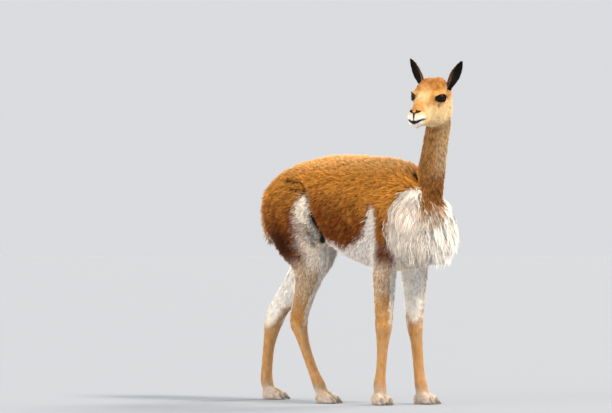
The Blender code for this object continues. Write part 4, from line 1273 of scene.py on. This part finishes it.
def growTufts(name, spots, facing, lie, patch, marks, look, draw, ripple=0.0):
    # ripple lifts whole rows of tufts and sinks the next, with painted light on the raised rows and painted
    # shade on the sunk ones
    look = {**plainLook, **look}
    count, rings = len(spots), look["rings"]
    length = look["length"] * draw.uniform(*tufts["lengths"], count)
    width = look["width"] * draw.uniform(*tufts["widths"], count)
    height = look["height"] * draw.uniform(*tufts["heights"], count) * (1 + tufts["rippleHeight"] * ripple)
    turn = draw.normal(0, look["stray"], count)[:, None]
    lie = unit(lie * np.cos(turn) + unit(np.cross(lie, facing)) * np.sin(turn))
    across = unit(np.cross(lie, facing))
    # painted light on raised rows of tufts, painted shade on sunk ones
    tone = draw.normal(0.5, 0.15, count) + look["tone"] + tufts["rippleLightShade"] * ripple
    edge, pulled = np.zeros(count), np.zeros((count, 3))
    if look["clump"]:
        led, edge = clumpOf(spots, look["clump"], draw)
        edge = np.clip(edge, 0, 1.2) ** 2
        height = height * (1 - tufts["edgeDrop"] * edge)
        # painted shade: tufts at a clump's edge are darker
        tone = tone + draw.normal(0.0, look["patchy"], count)[led] - look["gap"] * edge
        tip = spots + lie * length[:, None] + facing * height[:, None]
        pulled = (tip[led] - tip) * look["pull"]
        far = np.linalg.norm(pulled, axis=1, keepdims=True)
        pulled *= np.minimum(1.0, tufts["drawn"] * length[:, None] / np.maximum(far, 1e-6))
    even = look["even"] * marks[:, 0]
    tone = 0.5 + (tone - 0.5) * (1 - even) + tufts["paleTone"] * even * (1 - marks[:, 1])
    curl = draw.normal(0, look["wave"], count)
    size = rings * 3 + 1
    points, soft, along = np.empty((count, size, 3)), np.empty((count, size, 3)), np.empty((count, size))
    for row, t in enumerate(np.linspace(0, 1, rings + 1)):
        rise = 1 - (1 - t) ** 1.8
        spine = (
            spots
            - facing * look["sink"] * (1 - t)
            + facing * (height * rise)[:, None]
            + lie * (length * t)[:, None]
            + across * (curl * length * math.sin(2.6 * t))[:, None]
            + pulled * t**1.6
        )
        if row == rings:
            points[:, -1], soft[:, -1], along[:, -1] = spine, facing, 1
            break
        full = (width * tufts["taper"][row] * 0.5)[:, None]
        for k, (out, lift) in enumerate(((-1, 0), (0, 0.7), (1, 0))):
            points[:, row * 3 + k] = spine + across * full * out + facing * full * lift
            soft[:, row * 3 + k] = facing * 0.8 + across * (0.55 * out) + lie * (0.3 * t - 0.1)
            along[:, row * 3 + k] = t
    points[:, :, 2] = np.maximum(points[:, :, 2], tufts["lowest"])
    faces = (tuftFaces(rings)[None] + (np.arange(count) * size)[:, None, None]).reshape(-1, 3)
    piece = fastMesh(name, points.reshape(-1, 3), faces)
    tone, edge = (np.repeat(values[:, None], size, 1) for values in (tone, edge))
    strand = np.clip(np.stack([along, tone, edge, np.ones_like(along)], axis=2), 0, 1)
    writeMarks(piece, np.repeat(marks[:, None], size, 1).reshape(-1, 4), strand.reshape(-1, 4))
    # each tuft is a small patch of its own at its root's place on the skin's unwrap
    wide, tall = tufts["patch"]
    places = [((k - 1) * wide, (row / rings - 0.5) * tall) for row in range(rings) for k in range(3)]
    spread = (patch[:, None] + np.array(places + [(0, tall / 2)])[None]).reshape(-1, 2)
    layer = piece.data.uv_layers.new(name="OFBake")
    layer.uv.foreach_set("vector", np.ascontiguousarray(spread[faces.ravel()], dtype=np.float32).ravel())
    piece.data.normals_split_custom_set_from_vertices(unit(soft.reshape(-1, 3)))
    return piece


surface = readSurface(skin)
middle = surface["middle"]
high, places = middle[:, 2], headPlaces(middle)
onHead, onBib = headShare(places), bibShare(middle)
onNeck = neckColumn(middle) * (1 - onHead)
onTail = tailShare(middle, -0.366, -0.376, 0.042)
onSole = ramp(0.006, 0.002, high)
bareFace = ramp(1.14, 1.22, eyeAlmond(places, *eyes["slit"]))
bareFace *= 1 - 0.92 * ramp(0.6, 0.8, faceMarks(places)[:, 1]) * (places[:, 0] > 0.05)
creased = highest(*(creaseShare(middle, name) for name in creaseNames))
fleeced = ramp(0.47, 0.52, high) * (1 - onHead) * (1 - onNeck) * (1 - onBib) * (1 - onTail)
fleeced = fleeced * (1 - 0.95 * ramp(0.3, 0.7, creased))

coats = {
    # weight says where a coat grows; what a coat leaves out is as in plainLook
    "fleece": {
        "weight": fleeced, "count": 92000, "pieces": 3, "seed": 101,
        "length": 0.0175, "width": 0.0027, "rings": 1, "clump": 12, "pull": 0.42, "stray": 0.34,
        "full": 0.92, "gap": 0.28,
    },
    "fleeceOver": {
        "weight": fleeced, "count": 18500, "seed": 111,
        "length": 0.0230, "width": 0.0028, "clump": 7, "pull": 0.50, "wave": 0.14, "stray": 0.42,
        "full": 1.02, "gap": 0.12, "tone": 0.06,
    },
    "bibUnder": {
        "weight": onBib, "count": 12000, "seed": 102,
        "length": 0.068, "width": 0.0032, "clump": 18, "pull": 0.45, "wave": 0.08, "stray": 0.18,
        # painted shade: the under layer is darker, like the gaps between the locks
        "sink": 0.003, "full": 0.55, "gap": 0.20, "tone": -0.10, "even": 0.2,
    },
    "bibOver": {
        "weight": onBib * ramp(0.50, 0.54, high) * (0.45 + 1.1 * ramp(0.60, 0.70, high)),
        "count": 11800, "seed": 103,
        "length": 0.115, "width": 0.0028, "rings": 3, "clump": 19, "pull": 0.60, "wave": 0.17, "stray": 0.22,
        "sink": 0.003, "full": 0.84, "gap": 0.40, "tone": 0.02, "even": 0.10, "patchy": 0.22,
    },
    "neckCoat": {
        "weight": onNeck, "count": 12500, "seed": 104,
        "length": 0.026, "width": 0.0030, "clump": 16, "pull": 0.40, "wave": 0.08, "gap": 0.20,
    },
    "upperLegCoat": {
        "weight": ramp(0.53, 0.47, high) * ramp(0.235, 0.275, high) * (1 - onBib),
        "count": 15000, "seed": 105,
        "length": 0.0145, "width": 0.0026, "clump": 12, "pull": 0.30, "wave": 0.10, "stray": 0.26,
        "gap": 0.20,
    },
    "lowerLegCoat": {
        "weight": ramp(0.285, 0.245, high) * (1 - onSole),
        "count": 26000, "seed": 106, "slot": "leg_coat", "fine": True,
        "length": 0.0085, "width": 0.0020, "rings": 1, "stray": 0.20, "sink": 0.001, "full": 0.7,
    },
    "faceCoat": {
        "weight": onHead * bareFace * (0.6 + 0.8 * ramp(0.01, 0.07, places[:, 0])),
        "count": 15500, "seed": 107, "fine": True,
        "length": 0.0080, "width": 0.0014, "clump": 12, "pull": 0.20, "wave": 0.06, "sink": 0.001,
        "full": 0.85, "gap": 0.08, "even": 0.28,
    },
    "tailCoat": {
        "weight": onTail, "count": 4000, "seed": 108,
        "length": 0.042, "width": 0.0032, "clump": 10, "pull": 0.50, "wave": 0.16, "stray": 0.30,
        "sink": 0.003, "full": 1.2, "gap": 0.32, "patchy": 0.20,
    },
}
plainCoat = {**plainLook, "pieces": 1, "slot": "fawn_coat", "fine": False}
coats = {name: {**plainCoat, **coat} for name, coat in coats.items()}
rippled = ("fleece", "fleeceOver", "upperLegCoat")


bibLocks = {
    # heights of the tips, and how far they differ in front, lock by lock and in waves
    "lowest": 0.508, "frontLower": 0.036, "uneven": 0.025, "wavy": 0.014,
    # shortest lock, and the share of a lock's length that is left at the bib's edge
    "shortest": 0.012, "atEdge": 0.50,
    # where the locks part, over what width, and how far they lean and stray
    "partAt": 0.258, "partOver": 0.05, "lean": 0.36, "strayLean": 0.11,
    # how far they swing out: all, those at the top, and in waves; and how much of the hair's own lie is left
    "swing": 0.02, "swingTop": 0.10, "swingWaves": 0.08, "ownLie": 0.12,
    # tone, and what the shaded side loses as painted shade; colours as in coatMarks, the cream, streak, gold
    # and umber on the left being painted shade
    "tone": 0.36, "shade": 0.46, "pale": 0.97, "cream": 0.10, "streak": 0.26, "gold": 0.14, "umber": 0.55,
}


def fromBibEdge(spots):
    return ramp(-0.006, 0.034, spots[:, 0] - edgeAt("bib", spots[:, 2]))


def bibShadedSide(spots):
    # 1 on the side of the bib that is shaded in the photo
    return ramp(0.285, 0.200, asideOf(spots))


def lengthAt(name, spots, facing, draw):
    # how long the hair is at each root, as a share of the coat's own length
    x, z = spots[:, 0], spots[:, 2]
    if name.startswith("bib"):
        # locks hang down to an uneven line, and are short near the bib's edge
        bib = bibLocks
        lowest = bib["lowest"] - bib["frontLower"] * ramp(0.29, 0.34, x)
        lowest = lowest + bib["uneven"] * draw.random(len(spots)) + bib["wavy"] * waves(spots, 0.03, 31)
        room = np.clip(z - lowest, bib["shortest"], 1) / coats[name]["length"]
        return np.minimum(1.0, room) * (bib["atEdge"] + (1 - bib["atEdge"]) * fromBibEdge(spots))
    if name.startswith("fleece"):
        laid = folded(spots)
        ahead, above = laid - (creases["shortAhead"], 0, 0), laid - (0, 0, creases["shortAbove"])
        over = [(ahead, key) for key in ("hip", "fold", "thigh", "shoulder")]
        over += [(above, key) for key in ("hip", "fold", "shoulder")]
        near = [hump(lineDistance(at, creaseLines[key]), 0.0, creases["shortWidth"]) for at, key in over]
        near.append(hump(lineDistance(ahead, creaseLines["gap"]), 0.0, creases["shortGap"]))
        whole = 0.80 + 0.30 * ramp(0.52, 0.66, z) + 0.25 * ramp(0.58, 0.54, z) * ramp(-0.1, 0.0, x)
        return whole * (1 - creases["shortBy"] * highest(*near)) * (1 - 0.42 * allMarks(spots, facing)[:, 0])
    if name == "upperLegCoat":
        return 0.6 + 0.6 * ramp(0.28, 0.50, z)
    if name == "neckCoat":
        return 1 + 0.9 * ramp(0.76, 0.69, z)
    if name == "faceCoat":
        places = headPlaces(spots)
        muzzle, lids = ramp(0.045, 0.085, places[:, 0]), ramp(2.0, 1.2, eyeAlmond(places, *eyes["slit"]))
        crown = 1 + 0.5 * ramp(0.03, 0.06, places[:, 2]) + 0.5 * ramp(-0.02, -0.06, places[:, 0])
        return crown * (1 - 0.5 * muzzle) * (1 - 0.5 * lids)
    return np.ones(len(spots))


def combBib(roots, facing):
    # the locks part on the chest, swing out and hang free, but not near the bib's rear edge
    bib, aside, z = bibLocks, asideOf(roots), roots[:, 2]
    outward, fromEdge = bibOutward(roots), fromBibEdge(roots)
    within = ramp(0.130, 0.205, aside) * fromEdge
    parting = np.clip((aside - bib["partAt"]) / bib["partOver"], -0.9 * within, 0.45 * fromEdge)
    parting = bib["lean"] * (parting * ramp(0.60, 0.70, z))
    parting = parting + bib["strayLean"] * waves(roots, 0.035, 37) * within
    swing = bib["swingTop"] * ramp(0.60, 0.75, z) + bib["swingWaves"] * waves(roots, 0.05, 33)
    swing = bib["swing"] + swing * within
    lie = outward * swing[:, None] + photoRight[None] * parting[:, None]
    lie = unit(lie + np.array((0, 0, -1.0)) + hairLie(roots, facing) * bib["ownLie"])
    return lie, unit(facing * (1, 1, 0.3) + 0.25 * outward + (0, 0, 0.12))


def bibMarks(roots, dark, draw):
    # white, with painted shade on its left: long cream streaks, gold and umber
    bib, left = bibLocks, bibShadedSide(roots)
    streak = waves(roots * np.array((1, 1, 0.25)), 0.014, 35)
    pale = bib["pale"] - left * (bib["cream"] + bib["streak"] * ramp(-0.1, 0.6, streak))
    gold = bib["gold"] * left + draw.normal(0, 0.06, len(roots))
    return np.clip(np.stack([pale, 0.3 * dark, gold, bib["umber"] * left], axis=1), 0, 1)


coatPieces = []
for name, coat in coats.items():
    draw = np.random.default_rng(coat["seed"])
    roots, facing, patch, rows = pickRoots(surface, coat["weight"], coat["count"], draw)
    none = np.zeros(len(roots))
    onBibCoat = name.startswith("bib")
    share = lengthAt(name, roots, facing, draw)
    lie, facing = combBib(roots, facing) if onBibCoat else (hairLie(roots, facing), facing)
    length = coat["length"] * share
    blur = tufts["blur"] * ramp(0.25, 0.45, roots[:, 2]) * (1 - 0.85 * headShare(headPlaces(roots)))
    read = roots + lie * (length * tufts["readAt"])[:, None]
    marks = allMarks(read + draw.normal(0, 1, (len(roots), 3)) * blur[:, None], facing)
    marks[:, 2] = np.clip(marks[:, 2] + draw.normal(0, tufts["goldVaries"], len(roots)), 0, 1)
    tone, ripple = coat["tone"] + none, none
    if onBibCoat:
        # painted shade on the bib's left side, in its colour and in its tone
        marks = bibMarks(roots, marks[:, 1], draw)
        tone = tone + bibLocks["tone"] - bibLocks["shade"] * bibShadedSide(roots)
    if name in rippled:
        ripple = np.clip(waves(roots * np.array((0.45, 1.0, 1.5)), 0.012, 21), -1, 1)
        ripple = ripple * ramp(0.30, 0.45, roots[:, 2])
    height = coatDepth(roots) * coat["full"] * (0.55 + 0.45 * share)
    parts = np.array_split(np.argsort(roots[:, 0], kind="stable"), coat["pieces"])
    for place, part in enumerate(parts, 1):
        label = name if coat["pieces"] == 1 else name + str(place)
        look = {**coat, "length": length[part], "height": height[part], "tone": tone[part]}
        rooted = [values[part] for values in (roots, facing, lie, patch, marks)]
        coatPieces.append((growTufts(label, *rooted, look, draw, ripple[part]), name))
    print("coat", name, sum(len(piece.data.polygons) for piece, made in coatPieces if made == name), "faces")

spots, facing = pointsOf(skin), normalsOf(skin)
bare = np.maximum(headShare(headPlaces(spots)), ramp(0.40, 0.28, spots[:, 2]))
whole = np.ones(len(spots))
# painted shade: the skin under the coat is coloured like the hairs' shaded roots, less so where the coat is
# short, on the head and lower legs
strand = np.stack([0.30 + 0.45 * bare, 0.5 * whole, 1 - bare, whole], axis=1)
writeMarks(skin, allMarks(spots, facing), strand)

# eyes: a dark ball with a clear dome over the pupil


def buildEye(name, hand):
    centre, axis, ahead, lift = eyeAxes(hand)
    eye = ellipsoid(name, Vector((0, 0, 0)), (eyes["radius"],) * 3, None, 64, 48)
    spots = pointsOf(eye)
    x, y, z = spots.T
    dome = 1 + eyes["dome"] * ramp(0.72, 0.10, np.arccos(np.clip(z / eyes["radius"], -1, 1)))
    setPoints(eye, spots * dome[:, None])
    # the pupil is a lying oval; the attribute runs from its middle to the white
    oval = np.hypot(x / eyes["pupil"][0], y / eyes["pupil"][1])
    iris, back = np.hypot(x, y) / eyes["iris"], (z < 0) * 1.0
    rings = [np.clip(oval / 2, 0, 1), np.clip(iris / 2 + back, 0, 1), back, np.ones(len(spots))]
    writeColours(eye, "eyeRings", np.stack(rings, axis=1))
    turn = Matrix((ahead, lift, axis)).transposed().to_4x4()
    eye.data.transform(headMatrix @ Matrix.Translation(centre) @ turn)
    smoothShade(eye)
    return eye


def buildLashes(name, hand):
    # long lashes on the upper lid, short ones below
    draw = np.random.default_rng(200 + hand)
    centre, _, ahead, lift = eyeAxes(hand)
    roots, ways, facings, lengths = [], [], [], []
    for point in lidLine(hand, 260, 1.10, 0.0142):
        out = (point - centre).normalized()
        high, wide = (point - centre).dot(lift), (point - centre).dot(ahead)
        if high < 0.002 and draw.random() > 0.25:
            continue
        roots.append(centre + out * (eyes["radius"] + 0.0028))
        way = out * 0.8 + lift * (-0.22 if high > 0 else -0.3) + ahead * (0.35 * wide / 0.0165 - 0.15)
        ways.append(way.normalized())
        facings.append((lift if high > 0 else -lift) * 0.8 + out * 0.2)
        lengths.append(0.0060 if high > 0.002 else 0.0024)
    matrix, lengths = np.array(headMatrix), np.array(lengths)
    turn = matrix[:3, :3].T
    spots = np.array(roots) @ turn + matrix[:3, 3]
    lie, facing = unit(np.array(ways) @ turn), unit(np.array(facings) @ turn)
    marks, patch = np.tile((0.0, 0.97, 0.0, 0.0), (len(spots), 1)), np.full((len(spots), 2), 0.5)
    look = {"length": lengths, "height": 0.02 * lengths, **eyes["lashes"]}
    return growTufts(name, spots, alongSkin(facing, lie), lie, patch, marks, look, draw)


# ears: cupped leaves, thin at the rim

ears = {
    # distance along, half width, depth of the cup, thickness, backward bend
    "rows": [
        (0.000, 0.0105, 0.0000, 0.0110, 0.000),
        (0.018, 0.0130, 0.0008, 0.0105, 0.000),
        (0.034, 0.0160, 0.0040, 0.0080, 0.000),
        (0.052, 0.0182, 0.0090, 0.0044, 0.000),
        (0.072, 0.0174, 0.0100, 0.0030, 0.001),
        (0.088, 0.0140, 0.0080, 0.0026, 0.002),
        (0.103, 0.0100, 0.0052, 0.0024, 0.003),
        (0.112, 0.0062, 0.0026, 0.0022, 0.004),
        (0.1175, 0.0024, 0.0008, 0.0014, 0.0045),
    ],
    # the way each stands, the way its hollow looks, its root in the head's axes and its length as a share,
    # which way round its inner edge is, and from where its hollow is brown
    "earLeft": {
        "stands": Vector((-0.10, 0.44, 1.0)), "looks": Vector((0.80, 0.60, 0.0)),
        "root": Vector((-0.063, 0.0470, 0.027)), "reach": 0.93, "inward": -1, "brownFrom": 0.45,
    },
    "earRight": {
        "stands": Vector((-0.06, -0.66, 1.0)), "looks": Vector((0.90, -0.30, 0.0)),
        "root": Vector((-0.061, -0.0395, 0.025)), "reach": 1.03, "inward": 1, "brownFrom": 0.25,
    },
    "sides": 17,
    "count": 48,
    "slim": 0.0012,
    "hairs": 3000,
    "coat": {
        "length": 0.0070, "width": 0.0013, "height": 0.0012, "clump": 10, "pull": 0.2, "wave": 0.06,
        "sink": 0.0006, "gap": 0.05,
    },
}


def clipped(value):
    return min(1, max(0, value))


def buildEar(name):
    # returns the ear, its marks and the way it stands
    own, sides, slim = ears[name], ears["sides"], ears["slim"]
    axis = own["stands"].normalized()
    facing = (own["looks"] - axis * own["looks"].dot(axis)).normalized()
    across = axis.cross(facing).normalized()
    rings, marks = [], []
    for along, halfWidth, cup, thickness, bend in splineRows(ears["rows"], ears["count"]):
        outer, inner, innerMarks = [], [], []
        tip = along / 0.118
        for i in range(sides):
            t = -1 + 2 * i / (sides - 1)
            curve = 1 - t * t
            wall = max(thickness * (0.35 + 0.65 * curve) - slim * 0.4, 0.0008)
            back = -cup * curve - bend
            place = own["root"] + axis * (along * 0.955 * own["reach"])
            place = place + across * ((halfWidth - slim * 0.5) * t)
            outer.append(place + facing * (back - wall * 0.5))
            if 0 < i < sides - 1:
                inner.append(place + facing * (back + wall * 0.5))
                inward = t * own["inward"]
                fold = 0.55 * math.exp(-(((inward - 0.42) / 0.10) ** 2)) * clipped((0.62 - tip) / 0.25)
                brown = clipped((inward - own["brownFrom"]) / 0.35) * clipped((0.85 - tip) / 0.3)
                innerMarks.append((fold, 1.0 - 0.55 * brown - 0.3 * fold, 0.25 * brown, 0.0))
        rings.append(outer + inner[::-1])
        marks += [(0.0, 0.55 + 0.40 * tip, 0.45 * (1 - tip), 0.2)] * sides + innerMarks[::-1]
    ear, marks = loftPiece(name, rings), np.array(marks)
    ear.data.transform(headMatrix)
    unwrap(ear)
    writeMarks(ear, marks, np.tile((0.6, 0.5, 0.0, 1.0), (len(marks), 1)))
    return ear, marks, np.array(headMatrix.to_3x3() @ axis)


def buildEarCoat(name, ear, marks, axis, seed):
    draw = np.random.default_rng(seed)
    shape = readSurface(ear)
    roots, facing, patch, rows = pickRoots(shape, np.ones(len(shape["area"])), ears["hairs"], draw)
    lie = alongSkin(axis[None] + draw.normal(0, 0.10, (len(roots), 3)), facing)
    rooted = marks[shape["corners"][rows]].mean(axis=1)
    return growTufts(name, roots, facing, lie, patch, rooted, ears["coat"], draw)


def buildNails():
    # each nail with the name of its node
    made = []
    for name, leg in legs.items():
        for label, hand in toes["hands"].items():
            nail = toePiece(name + "Nail" + label, hand, 24, 40, -0.0002)
            keepSide(nail, toes["nailPoint"], -toes["nailNormal"])
            keepSide(nail, Vector((0, 0, 0.0004)), -up)
            applyModifier(nail, "BEVEL", width=0.0006, segments=2, limit_method="ANGLE")
            nail.data.transform(footPlace(leg))
            makeActive(nail)
            bpy.ops.object.shade_smooth_by_angle(angle=math.radians(40))
            node = name.replace("Left", "_left").replace("Right", "_right") + "_nail_" + label.lower()
            made.append((nail, node))
    return made


eyeLeft, eyeRight = buildEye("eyeLeft", 1), buildEye("eyeRight", -1)
lashesLeft, lashesRight = buildLashes("lashesLeft", 1), buildLashes("lashesRight", -1)
earPieces = {}
for place, name in enumerate(("earLeft", "earRight")):
    ear, earMarks, earAxis = buildEar(name)
    earPieces[name] = ear
    earPieces[name + "Coat"] = buildEarCoat(name + "Coat", ear, earMarks, earAxis, 300 + place)
nails = buildNails()
print("eyes, ears and nails ready")


# materials


def linear(hexText):
    # sRGB hex to the linear values that Blender's colour sockets hold
    found = []
    for place in (1, 3, 5):
        value = int(hexText[place : place + 2], 16) / 255
        found.append(value / 12.92 if value <= 0.04045 else ((value + 0.055) / 1.055) ** 2.4)
    return (*found, 1.0)


def setInputs(node, values):
    for key, value in values.items():
        node.inputs[key].default_value = value


def addNode(tree, kind, settings=None, values=None, links=None):
    node = tree.nodes.new(kind)
    for key, value in (settings or {}).items():
        setattr(node, key, value)
    setInputs(node, values or {})
    for key, socket in (links or {}).items():
        tree.links.new(socket, node.inputs[key])
    return node


def newMaterial(name, values):
    material = bpy.data.materials.new(name)
    material.use_nodes = True
    tree = material.node_tree
    shader = tree.nodes["Principled BSDF"]
    setInputs(shader, values)
    return material, tree, shader


coatColours = {
    "brown": "#78380b",
    "gold": "#d58e38",
    "umber": "#ab865a",
    "cream": "#fdf8f1",
    "straw": "#f6d69a",
    "dark": "#0c0704",
    "mottle": 0.10,
    "mottleSize": 0.022,
    # light at a tuft's darkest and brightest tone
    "darkest": 0.62,
    "brightest": 1.38,
}
coatFinish = {"Sheen Roughness": 0.45, "Specular IOR Level": 0.12}


def hairMaterial(name, roughness, sheen, rootShade, bumpSize=None):
    # keratin hair: no gloss of its own from afar, a soft bright edge against the light
    looks = {"Roughness": roughness, "Sheen Weight": sheen, **coatFinish}
    material, tree, shader = newMaterial(name, looks)
    marks = addNode(tree, "ShaderNodeAttribute", {"attribute_name": "coatMarks"})
    pale, dark, gold = addNode(tree, "ShaderNodeSeparateColor", links={0: marks.outputs["Color"]}).outputs
    strand = addNode(tree, "ShaderNodeAttribute", {"attribute_name": "strand"})
    along, tone = addNode(tree, "ShaderNodeSeparateColor", links={0: strand.outputs["Color"]}).outputs[:2]
    place = {"Vector": addNode(tree, "ShaderNodeTexCoord").outputs["Object"]}
    grain = {"Scale": 1 / coatColours["mottleSize"], "Detail": 3.0}
    mottle = addNode(tree, "ShaderNodeTexNoise", values=grain, links=place)
    # pale hair is white by itself and straw where it grows among the golden
    blend = {"data_type": "RGBA"}
    tints = {key: linear(coatColours[key]) for key in ("brown", "gold", "umber", "cream", "straw", "dark")}
    warm = addNode(tree, "ShaderNodeMix", blend, {6: tints["cream"], 7: tints["straw"]}, {0: gold})
    mix = addNode(tree, "ShaderNodeMix", blend, {6: tints["brown"], 7: tints["gold"]}, {0: gold})
    mix = addNode(
        tree, "ShaderNodeMix", blend, {7: tints["umber"]}, {0: marks.outputs["Alpha"], 6: mix.outputs[2]}
    )
    mix = addNode(tree, "ShaderNodeMix", blend, links={0: pale, 6: mix.outputs[2], 7: warm.outputs[2]})
    mix = addNode(tree, "ShaderNodeMix", blend, {7: tints["dark"]}, {0: dark, 6: mix.outputs[2]})
    # painted shade at the roots, lighter tips, and each tuft a little different
    factors = {1: 0.62 * (1 - rootShade), 2: rootShade}
    root = addNode(tree, "ShaderNodeMath", {"operation": "MULTIPLY_ADD"}, factors, {0: pale}).outputs[0]
    spread, ends = coatColours["mottle"], (coatColours["darkest"], coatColours["brightest"])
    shades = [
        addNode(tree, "ShaderNodeMapRange", None, values, links).outputs[0]
        for values, links in (
            ({1: 0.0, 2: 0.75, 4: 1.0}, {0: along, 3: root}),
            ({1: 0.0, 2: 1.0, 3: ends[0], 4: ends[1]}, {0: tone}),
            ({1: 0.3, 2: 0.7, 3: 1 - spread, 4: 1 + spread}, {0: mottle.outputs[0]}),
        )
    ]
    light, times = shades[0], {"operation": "MULTIPLY"}
    for shade in shades[1:]:
        light = addNode(tree, "ShaderNodeMath", times, links={0: light, 1: shade}).outputs[0]
    lit = {0: mix.outputs[2], "Scale": light}
    scaled = addNode(tree, "ShaderNodeVectorMath", {"operation": "SCALE"}, links=lit)
    tree.links.new(scaled.outputs[0], shader.inputs["Base Color"])
    if bumpSize:
        grain, depth = {"Scale": 1 / bumpSize, "Detail": 2.0}, {"Strength": 0.5, "Distance": 0.0008}
        grain = addNode(tree, "ShaderNodeTexNoise", values=grain, links=place)
        bump = addNode(tree, "ShaderNodeBump", values=depth, links={"Height": grain.outputs[0]})
        tree.links.new(bump.outputs[0], shader.inputs["Normal"])
    return material


def eyeMaterial():
    # wet cornea over a near-black iris: a sharp small highlight and no other light
    looks = {"Roughness": 0.18, "Specular IOR Level": 0.10, "Coat Weight": 0.20, "Coat Roughness": 0.02}
    material, tree, shader = newMaterial("wetEye", looks)
    rings = addNode(tree, "ShaderNodeAttribute", {"attribute_name": "eyeRings"})
    oval, circle = addNode(tree, "ShaderNodeSeparateColor", links={0: rings.outputs["Color"]}).outputs[:2]
    pupil = addNode(tree, "ShaderNodeMapRange", values={1: 0.42, 2: 0.52}, links={0: oval})
    rim = addNode(tree, "ShaderNodeMapRange", values={1: 0.42, 2: 0.56}, links={0: circle})
    blend = {"data_type": "RGBA"}
    iris = addNode(
        tree, "ShaderNodeMix", blend, {6: linear("#030202"), 7: linear("#180c06")}, {0: pupil.outputs[0]}
    )
    whole = addNode(
        tree, "ShaderNodeMix", blend, {7: linear("#0c0705")}, {0: rim.outputs[0], 6: iris.outputs[2]}
    )
    tree.links.new(whole.outputs[2], shader.inputs["Base Color"])
    return material


def nailMaterial():
    # horn, worn dull by stony ground, with growth bands a few millimetres apart
    material, tree, shader = newMaterial("dullHorn", {"Roughness": 0.55})
    place = {"Vector": addNode(tree, "ShaderNodeTexCoord").outputs["Object"]}
    cloud = addNode(tree, "ShaderNodeTexNoise", values={"Scale": 160.0, "Detail": 4.0}, links=place)
    bands = addNode(
        tree, "ShaderNodeTexWave", {"wave_type": "BANDS", "bands_direction": "X"},
        {"Scale": 110.0, "Distortion": 3.0}, place,
    )
    tints = {6: linear("#5d534a"), 7: linear("#9b8e7e")}
    shade = addNode(tree, "ShaderNodeMix", {"data_type": "RGBA"}, tints, {0: cloud.outputs[0]})
    tree.links.new(shade.outputs[2], shader.inputs["Base Color"])
    depth = {"Strength": 0.35, "Distance": 0.0004}
    bump = addNode(tree, "ShaderNodeBump", values=depth, links={"Height": bands.outputs[1]})
    tree.links.new(bump.outputs[0], shader.inputs["Normal"])
    return material


wool = hairMaterial("fineWool", 0.80, 0.05, 0.28)
shortHair = hairMaterial("shortHair", 0.62, 0.03, 0.66)
skinHair = hairMaterial("closeHair", 0.75, 0.05, 0.40, 0.0016)
eyeFinish, nailFinish = eyeMaterial(), nailMaterial()

# the model's own origin is the middle of the CAD box, so the design moves over by the eye's place
low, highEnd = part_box("eye_left")
shift = (Vector(low) + Vector(highEnd)) / 2 - headMatrix @ eyePlace(1)[0]
print("shift", [round(value, 5) for value in shift])


def finish(piece, material, slot, *nodes):
    piece.data.materials.clear()
    piece.data.materials.append(material)
    piece.data.transform(Matrix.Translation(shift))
    piece.data.update()
    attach(piece, "root")
    if nodes:
        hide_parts(*nodes)


flesh = [name for name in frame["nodes"] if not name.startswith(("eye_", "ear_")) and "_nail_" not in name]
finish(skin, skinHair, "fawn_coat", *flesh)
for piece, name in coatPieces:
    finish(piece, shortHair if coats[name]["fine"] else wool, coats[name]["slot"])
finish(eyeLeft, eyeFinish, "eye", "eye_left")
finish(eyeRight, eyeFinish, "eye", "eye_right")
finish(lashesLeft, shortHair, "ear_coat")
finish(lashesRight, shortHair, "ear_coat")
for name, node in (("earLeft", "ear_left"), ("earRight", "ear_right")):
    finish(earPieces[name], skinHair, "ear_coat", node)
    finish(earPieces[name + "Coat"], shortHair, "ear_coat")
for nail, node in nails:
    finish(nail, nailFinish, "nail", node)


# floor, light and camera

clearSelection()
bpy.ops.mesh.primitive_plane_add(size=160, location=(0, 0, 0))
floor = bpy.context.active_object
floor.name = "floor"
bpy.ops.object.mode_set(mode="EDIT")
bpy.ops.mesh.subdivide(number_cuts=3)
bpy.ops.object.mode_set(mode="OBJECT")
material, tree, shader = newMaterial("paleFloor", {"Base Color": linear("#979da6"), "Roughness": 0.9})
floor.data.materials.append(material)

world = bpy.data.worlds.new("studio")
bpy.context.scene.world = world
world.use_nodes = True
setInputs(world.node_tree.nodes["Background"], {0: linear("#f6f8fb"), 1: 0.76})

lamps = {
    # name: the way it shines, strength, softness in degrees, colour
    "key": ((-0.95, -0.06, -0.95), 3.2, 14, "#fff3e2"),
    "back": ((-0.25, -0.90, -0.80), 2.35, 24, "#fff4e4"),
    "fill": ((0.40, 0.90, -0.18), 2.55, 50, "#fff6ec"),
}
for name, (way, strength, softness, colour) in lamps.items():
    lamp = bpy.data.lights.new(name, "SUN")
    lamp.energy, lamp.angle, lamp.color = strength, math.radians(softness), linear(colour)[:3]
    holder = newObject(name, lamp)
    holder.rotation_euler = Vector(way).to_track_quat("-Z", "Y").to_euler()

view = {
    "azimuth": math.radians(38), "distance": 14.0, "height": 0.60, "aside": -0.1785, "sensor": 36,
    "metresPerPixel": 0.0035, "pixelsWide": 612, "middleY": 206.5, "horizon": 231.57,
}
right = Vector((math.cos(view["azimuth"]), math.sin(view["azimuth"]), 0))
toward = Vector((math.sin(view["azimuth"]), -math.cos(view["azimuth"]), 0))
camera = bpy.data.cameras.new("camera")
holder = newObject("camera", camera)
bpy.context.scene.camera = holder
camera.sensor_width = view["sensor"]
camera.lens = view["sensor"] * view["distance"] / (view["pixelsWide"] * view["metresPerPixel"])
camera.clip_end = 100
holder.location = right * view["aside"] + toward * view["distance"] + Vector((0, 0, view["height"])) + shift
aimHeight = view["height"] + (view["horizon"] - view["middleY"]) * view["metresPerPixel"]
aim = right * view["aside"] + Vector((0, 0, aimHeight)) + shift
holder.rotation_euler = (aim - holder.location).to_track_quat("-Z", "Y").to_euler()

bpy.context.scene.view_settings.view_transform = "Standard"
bpy.context.scene.view_settings.look = "None"
